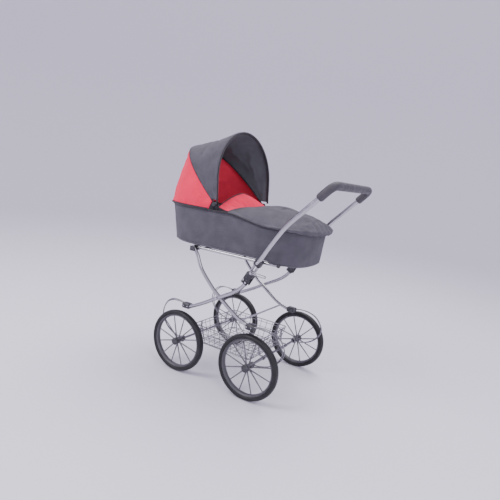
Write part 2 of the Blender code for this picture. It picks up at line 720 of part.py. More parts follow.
def cover_crown(x, half, end):
    """How far the foot cover stands above its edge: low at the seam, full, and lower at the foot."""
    rise = min((x - COVER_X) / 0.0850, 1)
    rise = 0.5 + 0.5 * rise * rise * (3 - 2 * rise)
    fall = 1 - 0.35 * max(0, (x - 0.11) / (end - 0.11)) ** 1.5
    return COVER_CROWN * rise * fall * min(half / (COT_HALF_WIDTH[1] + COVER_OUT), 1) ** 0.8


def cover_section(x, half, crown, edge, across=12):
    """One row over the foot cover, from the near edge to the far one."""
    row = []
    for k in range(across + 1):
        v = -1 + 2 * k / across
        row.append((x, half * v, edge + crown * (1 - abs(v) ** 2.6)))
    return row


def foot_cover_mesh():
    end = COT_FOOT_X + COT_FOOT_ROUND[1] + COVER_OUT + COVER_TOE
    stations = [COVER_X + (COT_FOOT_X - COVER_X) * k / 5 for k in range(5)]
    stations += [COT_FOOT_X + (end - COT_FOOT_X) * math.sin(math.pi / 2 * k / 8) for k in range(8)]
    rows = []
    for x in stations:
        half = cover_half_width(x)
        edge = rim_z(x) + 0.0048
        top = cover_section(x, half, cover_crown(x, half, end), edge)
        near, far = top[0], top[-1]
        rows.append([(near[0], near[1], near[2] - COVER_SKIRT), *top,
                     (far[0], far[1], far[2] - COVER_SKIRT)])
    last = rows[-1]
    low = min(p[2] for p in last)
    rows.append([(end - 0.0005, p[1], (p[2] + low) / 2) for p in last])
    rows.append([(end, p[1], low) for p in last])
    rows = [list(reversed(row)) for row in rows]
    return sheet(rows, SHEET_T)


def wind_flap_mesh():
    """The raised front edge of the foot cover, an arch that leans towards the hood."""
    rows = []
    seam_z = rim_z(COVER_X) + 0.0048
    for k in range(4):
        share = k / 3
        x = COVER_X - 0.0012 + (FLAP_TOP_X - COVER_X) * share
        half = COT_HALF_WIDTH[1] + COVER_OUT - 0.0006 + (FLAP_HALF - COT_HALF_WIDTH[1]
                                                        - COVER_OUT) * share**0.6
        edge = seam_z + (0.5800 - seam_z) * share
        crown = COVER_CROWN * 0.5 + (FLAP_TOP_Z - 0.5800 - COVER_CROWN * 0.5) * share
        rows.append(cover_section(x, half, crown, edge))
    return sheet(rows, SHEET_T)


# The hood


def front_bow_points(out=0.0, arc=14):
    """The front bow from its near foot over the top to its far foot."""
    half = HOOD_HALF + out
    foot_z = HOOD_PIVOT[1] + 0.0080
    top_z = HEIGHT - PANEL_OUT + out
    points = [(foot_z, -half)]
    for k in range(arc + 1):
        angle = math.pi * k / arc
        points.append((HOOD_SPRING_LINE + (top_z - HOOD_SPRING_LINE) * math.sin(angle),
                       -half * math.cos(angle)))
    points.append((foot_z, half))
    base_x = HOOD_PIVOT[0] + 0.0120
    return [Vector((base_x - HOOD_LEAN * (z - foot_z) / (top_z - foot_z), y, z))
            for z, y in points]


def middle_bow_points(out=0.0, forward=0.0, arc=14, start=0.0):
    """The middle bow, a squarish half ellipse in a plane through the pivots that leans back."""
    points = []
    reach, half = MIDDLE_BOW_REACH + out, MIDDLE_BOW_HALF + out
    lowest = math.asin((start / reach) ** (1 / 0.8))
    along = Vector((math.cos(MIDDLE_BOW_ANGLE), 0, math.sin(MIDDLE_BOW_ANGLE)))
    ahead = Vector((math.sin(MIDDLE_BOW_ANGLE), 0, -math.cos(MIDDLE_BOW_ANGLE)))
    for k in range(arc + 1):
        angle = lowest + (math.pi - 2 * lowest) * k / arc
        place = Vector((HOOD_PIVOT[0], -half * squared(math.cos(angle), 0.8), HOOD_PIVOT[1]))
        points.append(place + along * reach * squared(math.sin(angle), 0.8) + ahead * forward)
    return points


def bow_with_eyes(path, y):
    """A bow whose two ends carry a flat eye on the hood's pivot."""
    eyes = [cylinder(HOOD_PIVOT, s * (y - 0.0016), s * (y + 0.0016), 0.0065, 16) for s in (-1, 1)]
    bores = [cylinder(HOOD_PIVOT, s * (y - 0.0060), s * (y + 0.0060), PIN_HOLE_R, 12)
             for s in (-1, 1)]
    return cut(joined(tube(path, HOOD_BOW_R, 1), eyes), bores)


FRONT_EYE_Y, MIDDLE_EYE_Y = 0.1580, 0.1535


def add_hood(groups):
    front = front_bow_points()
    ends = [Vector((HOOD_PIVOT[0], sign * FRONT_EYE_Y, HOOD_PIVOT[1])) for sign in (-1, 1)]
    inward = [end + (foot - end) * 0.4 for end, foot in zip(ends, (front[0], front[-1]))]
    piece("hood_front_bow", bow_with_eyes([inward[0], *front, inward[1]], FRONT_EYE_Y),
          BLACK_PLASTIC, groups["hood_front"])
    middle = middle_bow_points(start=0.0045)
    middle[0].y, middle[-1].y = -MIDDLE_EYE_Y, MIDDLE_EYE_Y
    piece("hood_middle_bow", bow_with_eyes(middle, MIDDLE_EYE_Y), BLACK_PLASTIC,
          groups["hood_middle"])
    for side, sign in SIDES.items():
        add_hood_pivot(side, sign, groups["carrycot"])
    add_canopy(groups)


def add_hood_pivot(side, sign, body):
    """A plate inside the carrycot's wall, with the pin on which both bows turn."""
    x, z = HOOD_PIVOT
    inner = between(COT_HALF_WIDTH, 0.8) - COT_WALL - 0.0014
    near, far = sorted((sign * (inner - 0.0025), sign * inner))
    plate = block((x - 0.0140, near, 0.5450), (x + 0.0060, far, z + 0.0080), 0.0008)
    shank = [(0, inner - 0.001), (PIN_R, inner - 0.001), (PIN_R, FRONT_EYE_Y + 0.0029),
             (0.0070, FRONT_EYE_Y + 0.0029), (0.0060, FRONT_EYE_Y + 0.0055),
             (0, FRONT_EYE_Y + 0.0055)]
    pin = turned([(r, sign * y) for r, y in shank], HOOD_PIVOT, 20)
    piece(f"hood_pivot_{side}", joined(plate, [pin]), BLACK_PLASTIC, body)


def panel(first, last, rows, swell):
    """Rows of points from one edge to the other, which stand out by swell half way between."""
    made = []
    middle = Vector((-0.1600, 0, 0.6000))
    for k in range(rows + 1):
        share = k / rows
        row = []
        for a, b in zip(first, last):
            place = a.lerp(b, share)
            away = (place - middle).normalized()
            row.append(place + away * swell * math.sin(math.pi * share))
        made.append(row)
    return made


def add_canopy(groups):
    """The two fabric panels: front bow to middle bow, and middle bow down to the rim."""
    skin = HOOD_BOW_R + SHEET_T + 0.0020
    count = 16
    front = front_bow_points(PANEL_OUT)[1:-1]
    front = [p + Vector((0.0032, 0, 0)) for p in resampled(front, count)]
    front[0].z = front[-1].z = HOOD_SPRING_LINE - 0.0450
    middle = resampled(middle_bow_points(skin, 0.0018, start=0.0420), count)
    rows = panel(middle, front, 4, 0.0)
    piece("hood_front_panel", sheet([list(reversed(r)) for r in rows], SHEET_T), GREY_FABRIC,
          groups["hood_middle"], 60)
    middle = resampled(middle_bow_points(skin, -0.0018, start=0.0420), count)
    rim = []
    for k in range(count + 1):
        angle = math.pi * k / count
        rim.append(Vector((COT_HEAD_X + 0.0450 - (LENGTH / 2 - 0.1100) * math.sin(angle),
                           -(COT_HALF_WIDTH[1] + 0.0010) * squared(math.cos(angle), 0.8),
                           RIM_HEAD_Z + 0.0035)))
    rows = panel(rim, middle, 4, 0.0040)
    piece("hood_rear_panel", sheet([list(reversed(r)) for r in rows], SHEET_T), CORAL_FABRIC,
          groups["carrycot"], 60)


def resampled(points, count):
    """Points evenly spaced along a run of points."""
    lengths = [0.0]
    for a, b in zip(points, points[1:]):
        lengths.append(lengths[-1] + (b - a).length)
    made = []
    for k in range(count + 1):
        want = lengths[-1] * k / count
        i = max(j for j in range(len(points) - 1) if lengths[j] <= want + 1e-12)
        share = (want - lengths[i]) / (lengths[i + 1] - lengths[i])
        made.append(points[i].lerp(points[i + 1], share))
    return made


# Assembly

clear_scene()
CHROME = material("chromed_steel", (0.62, 0.61, 0.64), 0.28, 1.0)
SILVER_PLASTIC = material("silver_plastic", (0.46, 0.45, 0.49), 0.40, 0.3)
FOAM_TYRE = material("foam_tyre", (0.035, 0.034, 0.040), 0.85)
BLACK_PLASTIC = material("black_plastic", (0.020, 0.020, 0.024), 0.45)
FOAM_GRIP = material("foam_grip", (0.060, 0.058, 0.065), 0.90)
GREY_FABRIC = material("grey_fabric", (0.150, 0.145, 0.175), 0.95)
CORAL_FABRIC = material("coral_fabric", (0.80, 0.12, 0.17), 0.90)
WHITE_FABRIC = material("white_fabric", (0.78, 0.76, 0.74), 0.90)
BOARD = material("board", (0.32, 0.22, 0.13), 0.80)


def joint_place(pivot):
    return (pivot[0], 0, pivot[1])


GROUPS = {"carrier": group("carrier", (0, 0, 0))}
GROUPS["rear_legs"] = group("rear_legs", joint_place(CARRIER_PIVOT), GROUPS["carrier"])
GROUPS["front_legs"] = group("front_legs", joint_place(CROSSING), GROUPS["rear_legs"])
GROUPS["basket"] = group("basket", (REAR_AXLE_X, 0, WHEEL_R), GROUPS["rear_legs"])
GROUPS["handle"] = group("handle", joint_place(FOLD_PIVOT), GROUPS["carrier"])
GROUPS["frame_lock"] = group("frame_lock", joint_place(LOCK_PIVOT), GROUPS["handle"])
GROUPS["carrycot"] = group("carrycot", (0, 0, COT_BOTTOM), GROUPS["carrier"])
GROUPS["hood_middle"] = group("hood_middle", joint_place(HOOD_PIVOT), GROUPS["carrycot"])
GROUPS["hood_front"] = group("hood_front", joint_place(HOOD_PIVOT), GROUPS["hood_middle"])

add_wheels(GROUPS)
add_legs(GROUPS)
add_carrier(GROUPS)
add_handle(GROUPS)
add_frame_lock(GROUPS)
add_basket(GROUPS)
add_carrycot(GROUPS)
add_hood(GROUPS)
bpy.context.view_layer.update()
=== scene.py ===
import json
import math

import bpy
from mathutils import Matrix, Vector, noise


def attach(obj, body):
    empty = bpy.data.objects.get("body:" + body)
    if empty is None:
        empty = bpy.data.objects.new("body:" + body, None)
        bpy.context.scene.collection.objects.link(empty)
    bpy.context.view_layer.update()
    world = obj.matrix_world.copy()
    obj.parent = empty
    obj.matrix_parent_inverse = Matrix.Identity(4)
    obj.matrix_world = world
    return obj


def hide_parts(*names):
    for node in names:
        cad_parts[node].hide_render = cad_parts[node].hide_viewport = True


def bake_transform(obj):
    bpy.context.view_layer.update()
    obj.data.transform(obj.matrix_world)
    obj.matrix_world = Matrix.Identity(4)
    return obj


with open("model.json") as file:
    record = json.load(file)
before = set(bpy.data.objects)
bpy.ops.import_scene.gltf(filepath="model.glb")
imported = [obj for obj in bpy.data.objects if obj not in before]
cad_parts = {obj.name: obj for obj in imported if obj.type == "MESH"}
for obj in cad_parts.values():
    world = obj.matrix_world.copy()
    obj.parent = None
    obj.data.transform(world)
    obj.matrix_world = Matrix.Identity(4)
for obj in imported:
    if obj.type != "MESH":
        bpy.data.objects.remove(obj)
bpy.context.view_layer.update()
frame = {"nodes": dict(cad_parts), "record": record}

SIDES = {"left": -1, "right": 1}
AXLES = {"front": -0.1480, "rear": 0.1390}
GAP = 0.0003

# ---------------------------------------------------------------- materials


def new_material(name, colour, roughness, metallic=0.0, **sockets):
    material = bpy.data.materials.new(name)
    material.use_nodes = True
    material.diffuse_color = (*colour, 1)
    shader = material.node_tree.nodes["Principled BSDF"]
    shader.inputs["Base Color"].default_value = (*colour, 1)
    shader.inputs["Roughness"].default_value = roughness
    shader.inputs["Metallic"].default_value = metallic
    for socket, value in sockets.items():
        shader.inputs[socket.replace("_", " ")].default_value = value
    return material


class Nodes:
    """Short names for the shader nodes of one material."""

    def __init__(self, material):
        self.tree = material.node_tree
        self.shader = self.tree.nodes["Principled BSDF"]
        self.place = self.add("ShaderNodeTexCoord").outputs["Object"]

    def add(self, kind):
        return self.tree.nodes.new(kind)

    def link(self, source, target):
        self.tree.links.new(source, target)

    def noise(self, scale, detail=3.0, stretch=None):
        node = self.add("ShaderNodeTexNoise")
        node.inputs["Scale"].default_value = scale
        node.inputs["Detail"].default_value = detail
        source = self.place
        if stretch:
            mapping = self.add("ShaderNodeMapping")
            mapping.inputs["Scale"].default_value = stretch
            self.link(source, mapping.inputs["Vector"])
            source = mapping.outputs["Vector"]
        self.link(source, node.inputs["Vector"])
        return node.outputs["Fac"]

    def wave(self, axis, period, wobble=0.6):
        node = self.add("ShaderNodeTexWave")
        node.bands_direction = axis
        node.inputs["Scale"].default_value = math.tau / (20 * period)
        node.inputs["Distortion"].default_value = wobble
        node.inputs["Detail"].default_value = 1.0
        node.inputs["Detail Scale"].default_value = 2.0
        self.link(self.place, node.inputs["Vector"])
        return node.outputs["Fac"]

    def cells(self, scale):
        node = self.add("ShaderNodeTexVoronoi")
        node.inputs["Scale"].default_value = scale
        self.link(self.place, node.inputs["Vector"])
        return node.outputs["Distance"]

    def math(self, operation, first, second):
        node = self.add("ShaderNodeMath")
        node.operation = operation
        for socket, value in zip(node.inputs, (first, second)):
            if isinstance(value, (int, float)):
                socket.default_value = value
            else:
                self.link(value, socket)
        return node.outputs["Value"]

    def ramp(self, source, low, high, start=0.0, end=1.0):
        node = self.add("ShaderNodeMapRange")
        limits = (("From Min", start), ("From Max", end), ("To Min", low), ("To Max", high))
        for name, value in limits:
            node.inputs[name].default_value = value
        self.link(source, node.inputs["Value"])
        return node.outputs["Result"]

    def tint(self, colour, factor):
        """The colour times a factor that varies over the surface."""
        node = self.add("ShaderNodeVectorMath")
        node.operation = "SCALE"
        node.inputs[0].default_value = colour
        self.link(factor, node.inputs["Scale"])
        return node.outputs["Vector"]

    def blend(self, factor, first, second):
        node = self.add("ShaderNodeMix")
        node.data_type = "RGBA"
        for socket, value in ((node.inputs[6], first), (node.inputs[7], second)):
            if isinstance(value, tuple):
                socket.default_value = (*value, 1)
            else:
                self.link(value, socket)
        self.link(factor, node.inputs[0])
        return node.outputs[2]

    def bump(self, height, depth, strength=1.0, under=None):
        node = self.add("ShaderNodeBump")
        node.inputs["Distance"].default_value = depth
        node.inputs["Strength"].default_value = strength
        self.link(height, node.inputs["Height"])
        if under:
            self.link(under, node.inputs["Normal"])
        return node.outputs["Normal"]

    def edges(self):
        """High along the outer edges of a piece, where it wears."""
        geometry = self.add("ShaderNodeNewGeometry")
        return self.ramp(geometry.outputs["Pointiness"], 0.0, 1.0, 0.52, 0.60)


WEAVE_PERIOD, CREASE_DEPTH = 0.0013, 0.0012


def fabric(name, colour, mottle=0.20):
    """Woven cloth: crossing threads, a flecked colour, painted shade in the valleys between the
    threads, soft creases and a little sheen.
    """
    material = new_material(name, colour, 0.92, Sheen_Weight=0.07, Sheen_Roughness=0.5,
                            Specular_IOR_Level=0.25)
    n = Nodes(material)
    threads = n.math("ADD", n.wave("X", WEAVE_PERIOD), n.wave("Y", WEAVE_PERIOD))
    threads = n.math("ADD", threads, n.wave("Z", WEAVE_PERIOD))
    weave = n.bump(n.ramp(threads, 0, 1, 0, 3), 0.00035, 0.28)
    soft = n.noise(26, 4.0, (1.0, 1.0, 0.55))
    creased = n.bump(soft, CREASE_DEPTH, 0.7, weave)
    n.link(creased, n.shader.inputs["Normal"])
    clouds = n.ramp(n.noise(22, 7.0), 1 - mottle / 2, 1 + mottle / 2, 0.3, 0.7)
    flecks = n.ramp(n.noise(1400, 2.0), 0.86, 1.14, 0.3, 0.7)
    # painted shade: the base colour is darker in the low valleys between the threads and a little
    # lighter on their crests
    painted_valley_shade = n.ramp(threads, 0.93, 1.03, 0.6, 2.4)
    factor = n.math("MULTIPLY", n.math("MULTIPLY", clouds, flecks), painted_valley_shade)
    n.link(n.tint(colour, factor), n.shader.inputs["Base Color"])
    n.link(n.ramp(n.noise(60, 3.0), 0.84, 0.98, 0.3, 0.7), n.shader.inputs["Roughness"])
    return material


def piping_cloth(name, colour):
    """Ribbed tape or thread, a little uneven in colour."""
    material = new_material(name, colour, 0.8, Sheen_Weight=0.15, Specular_IOR_Level=0.35)
    n = Nodes(material)
    ribs = n.math("ADD", n.wave("X", 0.0011, 0.3), n.wave("Z", 0.0011, 0.3))
    n.link(n.bump(ribs, 0.0003, 0.5), n.shader.inputs["Normal"])
    uneven = n.ramp(n.noise(300), 0.75, 1.35, 0.3, 0.7)
    n.link(n.tint(colour, uneven), n.shader.inputs["Base Color"])
    n.link(n.ramp(n.noise(80), 0.66, 0.9, 0.3, 0.7), n.shader.inputs["Roughness"])
    return material


def metal(name, colour, low, high):
    """Plated steel: fine drawn lines, a cloudy polish and a few dull spots."""
    material = new_material(name, colour, (low + high) / 2, 1.0)
    n = Nodes(material)
    lines = n.noise(90, 5.0, (1.0, 9.0, 1.0))
    polish = n.ramp(n.noise(35, 4.0), low, high, 0.3, 0.7)
    scratch = n.ramp(lines, -0.04, 0.06, 0.3, 0.7)
    n.link(n.math("ADD", polish, scratch), n.shader.inputs["Roughness"])
    n.link(n.bump(n.noise(900, 3.0), 0.00012, 0.25), n.shader.inputs["Normal"])
    spots = n.ramp(n.noise(240, 2.0), 1.0, 0.72, 0.66, 0.76)
    clouds = n.ramp(n.noise(20, 3.0), 0.93, 1.04, 0.3, 0.7)
    n.link(n.tint(colour, n.math("MULTIPLY", spots, clouds)), n.shader.inputs["Base Color"])
    return material


def plastic(name, colour, worn, roughness=(0.34, 0.52), coat=0.0):
    """Moulded plastic: a fine grain, a cloudy gloss and edges rubbed lighter."""
    material = new_material(name, colour, roughness[0], Coat_Weight=coat, Coat_Roughness=0.3)
    n = Nodes(material)
    grain = n.bump(n.cells(1500), 0.00015, 0.4)
    n.link(grain, n.shader.inputs["Normal"])
    n.link(n.ramp(n.noise(70, 3.0), *roughness, 0.3, 0.7), n.shader.inputs["Roughness"])
    body = n.tint(colour, n.ramp(n.noise(45, 4.0), 0.88, 1.12, 0.3, 0.7))
    wear = n.math("MULTIPLY", n.edges(), n.ramp(n.noise(220, 3.0), 0.0, 0.8, 0.4, 0.65))
    n.link(n.blend(wear, body, worn), n.shader.inputs["Base Color"])
    return material


def foam(name, colour, dust, pore, depth, roughness):
    """Foam rubber: open pores, a matt skin and dust where it rubs."""
    material = new_material(name, colour, roughness[1], Specular_IOR_Level=0.45)
    n = Nodes(material)
    pores = n.bump(n.cells(pore), depth, 0.6)
    n.link(n.bump(n.noise(120, 4.0), 0.0006, 0.35, pores), n.shader.inputs["Normal"])
    n.link(n.ramp(n.noise(55, 4.0), *roughness, 0.3, 0.7), n.shader.inputs["Roughness"])
    body = n.tint(colour, n.ramp(n.noise(500, 3.0), 0.75, 1.3, 0.3, 0.7))
    n.link(n.blend(n.ramp(n.noise(26, 5.0), 0.0, 0.28, 0.5, 0.75), body, dust),
           n.shader.inputs["Base Color"])
    return material


def floor_finish():
    material = new_material("studio_floor", (0.78, 0.755, 0.84), 0.7)
    n = Nodes(material)
    n.link(n.ramp(n.noise(6, 2.0), 0.66, 0.74, 0.3, 0.7), n.shader.inputs["Roughness"])
    return material


GREY = fabric("grey_weave", (0.086, 0.082, 0.098), mottle=0.34)
# painted shade: a copy of the grey fabric for the inner faces of the carrycot cover and hood,
# coloured for how the inside looks in shade
GREY_SHADED_INSIDE = fabric("grey_shaded_inside", (0.125, 0.146, 0.162))
CORAL = fabric("coral_weave", (0.92, 0.014, 0.078), mottle=0.12)
# painted shade: a copy of the coral fabric for the inner faces of the hood's rear panel and the
# wind flap, coloured for how the inside looks in shade
CORAL_SHADED_INSIDE = fabric("coral_shaded_inside", (0.86, 0.050, 0.095), mottle=0.12)
WHITE = fabric("white_quilt", (0.74, 0.72, 0.72), mottle=0.06)
PIPING = piping_cloth("dark_piping", (0.022, 0.018, 0.024))
THREAD_GREY = piping_cloth("grey_thread", (0.10, 0.095, 0.115))
THREAD_CORAL = piping_cloth("coral_thread", (0.60, 0.07, 0.10))
CHROME = metal("plated_tube", (0.46, 0.45, 0.48), 0.10, 0.22)
WIRE = metal("plated_wire", (0.25, 0.24, 0.265), 0.18, 0.30)
RIM = plastic("silver_moulding", (0.066, 0.064, 0.074), (0.17, 0.16, 0.18), (0.28, 0.42), 0.2)
BLACK = plastic("black_moulding", (0.016, 0.016, 0.020), (0.09, 0.09, 0.10))
TYRE = foam("tyre_foam", (0.007, 0.0065, 0.008), (0.022, 0.020, 0.023), 1500, 0.0002, (0.40, 0.62))
GRIP = foam("grip_foam", (0.052, 0.047, 0.056), (0.13, 0.12, 0.135), 900, 0.0005, (0.42, 0.68))
BOARD = plastic("base_board_pulp", (0.30, 0.20, 0.12), (0.42, 0.30, 0.19), (0.7, 0.9))

# ---------------------------------------------------------------- making pieces


def make(name, verts, faces, materials, body, slot, replaced=(), face_materials=None, angle=None):
    """A mesh piece that rides on a body."""
    mesh = bpy.data.meshes.new(name)
    mesh.from_pydata([tuple(v) for v in verts], [], faces)
    for material in materials:
        mesh.materials.append(material)
    if face_materials:
        mesh.polygons.foreach_set("material_index", face_materials)
    mesh.validate()
    mesh.shade_smooth()
    if angle:
        mesh.set_sharp_from_angle(angle=math.radians(angle))
    piece = bpy.data.objects.new(name, mesh)
    bpy.context.collection.objects.link(piece)
    return settle(piece, body, replaced)


def settle(piece, body, replaced=()):
    if body:
        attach(piece, body)
    if replaced:
        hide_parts(*replaced)
    return piece


def bars(name, paths, radius, material, body, replaced=(), resolution=5,
         cyclic=False):
    """Round bars along paths, as one piece."""
    data = bpy.data.curves.new(name, "CURVE")
    data.dimensions = "3D"
    data.bevel_depth = radius
    data.bevel_resolution = resolution
    data.use_fill_caps = True
    for path in paths:
        line = data.splines.new("POLY")
        line.points.add(len(path) - 1)
        line.use_cyclic_u = cyclic
        for point, place in zip(line.points, path):
            point.co = (*place, 1)
        line.use_smooth = True
    data.materials.append(material)
    piece = bpy.data.objects.new(name, data)
    bpy.context.collection.objects.link(piece)
    return settle(piece, body, replaced)


def smooth_path(points, steps=8):
    """Points on a Catmull-Rom curve through the given ones."""
    points = [Vector(p) for p in points]
    ends = [2 * points[0] - points[1], *points, 2 * points[-1] - points[-2]]
    path = []
    for a, b, c, d in zip(ends, ends[1:], ends[2:], ends[3:]):
        for step in range(steps):
            t = step / steps
            path.append(0.5 * (2 * b + (c - a) * t + (2 * a - 5 * b + 4 * c - d) * t**2
                               + (3 * b - a - 3 * c + d) * t**3))
    return [*path, points[-1]]


def rounded_path(points, radius, steps=8):
    """Straight lines through the points, with each corner bent to the radius."""
    points = [Vector(p) for p in points]
    path = [points[0]]
    for before, corner, after in zip(points, points[1:], points[2:]):
        a, b = (before - corner).normalized(), (after - corner).normalized()
        reach = radius / math.tan(a.angle(b) / 2)
        start, end = corner + a * reach, corner + b * reach
        for step in range(steps + 1):
            t = step / steps
            path.append((1 - t) ** 2 * start + 2 * t * (1 - t) * corner + t**2 * end)
    return [*path, points[-1]]


def shifted(points, x, z):
    return [p + Vector((x, 0, z)) for p in points]


def piping(name, paths, radius, resolution=4, cyclic=False):
    """Dark piping sewn to the carrycot."""
    bars(name, paths, radius, PIPING, "carrycot", resolution=resolution,
         cyclic=cyclic)


def resampled(points, count):
    """Count + 1 points evenly spaced along a run of points."""
    points = [Vector(p) for p in points]
    lengths = [0.0]
    for a, b in zip(points, points[1:]):
        lengths.append(lengths[-1] + (b - a).length)
    made, i = [], 0
    for k in range(count + 1):
        want = lengths[-1] * k / count
        while i < len(points) - 2 and lengths[i + 1] < want:
            i += 1
        share = (want - lengths[i]) / max(lengths[i + 1] - lengths[i], 1e-9)
        made.append(points[i].lerp(points[i + 1], share))
    return made


def turned(profile, centre, segments=96, closed=False):
    """Vertices and faces of a profile of (distance from the axis, y) spun about the Y axis."""
    verts, faces, count = [], [], len(profile)
    for k in range(segments):
        angle = math.tau * k / segments
        for r, y in profile:
            verts.append((centre[0] + r * math.cos(angle), y, centre[1] + r * math.sin(angle)))
    for k in range(segments):
        a, b = k * count, (k + 1) % segments * count
        for i in range(count if closed else count - 1):
            j = (i + 1) % count
            faces.append((a + i, b + i, b + j, a + j))
    if not closed:
        faces.append(tuple(k * count for k in range(segments)))
        faces.append(tuple(reversed([k * count + count - 1 for k in range(segments)])))
    return verts, faces


def added(first, second):
    """Two sets of vertices and faces as one."""
    shift = len(first[0])
    return first[0] + second[0], first[1] + [tuple(i + shift for i in f) for f in second[1]]


def round_ring(centre, across, other, sides):
    """Points on an ellipse with the two half axes."""
    turns = [math.tau * k / sides for k in range(sides)]
    return [centre + across * math.cos(a) + other * math.sin(a) for a in turns]


def lofted(rings):
    """Vertices and faces through a stack of rings, closed at both ends."""
    count = len(rings[0])
    verts = [p for ring in rings for p in ring]
    faces = []
    for r in range(len(rings) - 1):
        for i in range(count):
            j = (i + 1) % count
            faces.append((r * count + i, r * count + j, (r + 1) * count + j, (r + 1) * count + i))
    last = (len(rings) - 1) * count
    return verts, [*faces, tuple(reversed(range(count))), tuple(range(last, last + count))]


def rod(start, end, radii):
    """A straight tapered bar with flat ends."""
    start, end = Vector(start), Vector(end)
    along = (end - start).normalized()
    across = along.orthogonal().normalized()
    other = along.cross(across)
    return lofted([round_ring(place, across * radius, other * radius, 12)
                   for place, radius in zip((start, end), radii)])


def skin(name, rows, thickness, materials, body, slot, replaced):
    """A closed sheet on a grid of points. Its outer side has the first material, its inner side
    the last."""
    grid = [[Vector(p) for p in row] for row in rows]
    count, width = len(grid), len(grid[0])

    def normal(i, j):
        along = grid[min(i + 1, count - 1)][j] - grid[max(i - 1, 0)][j]
        across = grid[i][min(j + 1, width - 1)] - grid[i][max(j - 1, 0)]
        return across.cross(along).normalized()

    outer = [p for row in grid for p in row]
    inner = [grid[i][j] - normal(i, j) * thickness for i in range(count) for j in range(width)]
    total = count * width
    faces, kinds = [], []
    for i in range(count - 1):
        for j in range(width - 1):
            a, b, c, d = (i * width + j, i * width + j + 1, (i + 1) * width + j + 1,
                          (i + 1) * width + j)
            faces += [(a, b, c, d), (d + total, c + total, b + total, a + total)]
            kinds += [0, len(materials) - 1]
    edge = ([(0, j) for j in range(width)] + [(i, width - 1) for i in range(1, count)]
            + [(count - 1, j) for j in reversed(range(width - 1))]
            + [(i, 0) for i in reversed(range(1, count - 1))])
    for (a, b), (c, d) in zip(edge, edge[1:] + edge[:1]):
        p, q = a * width + b, c * width + d
        faces.append((q, p, p + total, q + total))
        kinds.append(0)
    return make(name, outer + inner, faces, materials, body, slot, replaced, kinds)


STITCH_PITCH, STITCH_R = 0.0052, 0.00032


def run_length(path):
    return sum((b - a).length for a, b in zip(path, path[1:]))


def stitches(name, path, radius, material, body):
    """A row of short stitches along a path."""
    count = max(int(run_length(path) / STITCH_PITCH), 1)
    marks = resampled(path, count * 5)
    runs = [marks[k * 5:k * 5 + 4] for k in range(count)]
    return bars(name, runs, radius, material, body, resolution=0)


CLOTH_FRAMES, PAD_VOXEL = 20, 0.0050


def simulated(rows, held, pressure, slack, cap, closed=False):
    """The grid of cloth after simulation: held at some points, with slack and a little air in
    it. No point moves further than the cap."""
    count, width = len(rows), len(rows[0])
    faces = []
    for i in range(count - 1):
        for j in range(width if closed else width - 1):
            k = (j + 1) % width
            corners = (i * width + j, i * width + k, (i + 1) * width + k, (i + 1) * width + j)
            faces.append(tuple(reversed(corners)) if closed else corners)
    points = [p for row in rows for p in row]
    trial = make("cloth_trial", points, faces, [GREY], None, "grey_fabric")
    group = trial.vertex_groups.new(name="held")
    group.add([i * width + j for i, j in held], 1.0, "REPLACE")
    change = trial.modifiers.new("cloth", "CLOTH")
    set_cloth(change, pressure, slack)
    change.settings.vertex_group_mass = "held"
    places = after_frames(trial)
    bpy.data.objects.remove(trial)
    made = []
    for i, row in enumerate(rows):
        made.append([capped(p, places[i * width + j], cap) for j, p in enumerate(row)])
    return made


def set_cloth(change, pressure, slack):
    """Soft cloth without weight, blown up by a little air."""
    settings = change.settings
    settings.quality = 5
    settings.mass = 0.25
    settings.tension_stiffness = settings.compression_stiffness = 12
    settings.shear_stiffness = 4
    settings.bending_stiffness = 0.12
    settings.air_damping = 2
    settings.use_pressure = True
    settings.uniform_pressure_force = pressure
    settings.shrink_min = -slack
    settings.effector_weights.gravity = 0
    change.collision_settings.use_collision = False


def after_frames(piece):
    """Where a simulated piece's points are after the last frame."""
    scene = bpy.context.scene
    for frame_number in range(1, CLOTH_FRAMES + 1):
        scene.frame_set(frame_number)
    graph = bpy.context.evaluated_depsgraph_get()
    places = [v.co.copy() for v in piece.evaluated_get(graph).data.vertices]
    scene.frame_set(1)
    return places


def capped(before, after, cap):
    move = after - before
    return before + move * min(1, cap / max(move.length, 1e-9))


def puffed(piece, cap, floor):
    """A closed pad remeshed and blown up by cloth simulation; no point moves further than cap or
    drops below the floor."""
    shape = piece.modifiers.new("remesh", "REMESH")
    shape.mode = "VOXEL"
    shape.voxel_size = PAD_VOXEL
    graph = bpy.context.evaluated_depsgraph_get()
    mesh = bpy.data.meshes.new_from_object(piece.evaluated_get(graph))
    piece.modifiers.clear()
    piece.data = mesh
    change = piece.modifiers.new("cloth", "CLOTH")
    set_cloth(change, 0.6, 0.0)
    places = after_frames(piece)
    piece.modifiers.clear()
    for vert, after in zip(mesh.vertices, places):
        place = capped(vert.co, after, cap)
        place.z = max(place.z, floor)
        vert.co = place
    fine = piece.modifiers.new("fine", "SUBSURF")
    fine.levels = fine.render_levels = 1
    graph = bpy.context.evaluated_depsgraph_get()
    piece.data = bpy.data.meshes.new_from_object(piece.evaluated_get(graph))
    piece.modifiers.clear()
    piece.data.shade_smooth()


def sewn_edges(rows):
    """The grid places along all four edges."""
    last, width = len(rows) - 1, len(rows[0])
    held = {(i, j) for i in (0, last) for j in range(width)}
    return held | {(i, j) for i in range(last + 1) for j in (0, width - 1)}


# ---------------------------------------------------------------- camera, light and floor

CAMERA_TURN = (31.0, 10.9, 7.1)
CAMERA_PLACE = (0.7395, -1.2695, 0.6812)
CAMERA_LENS = 30.64
CAMERA_SHIFT = (0.009, 0.0225)


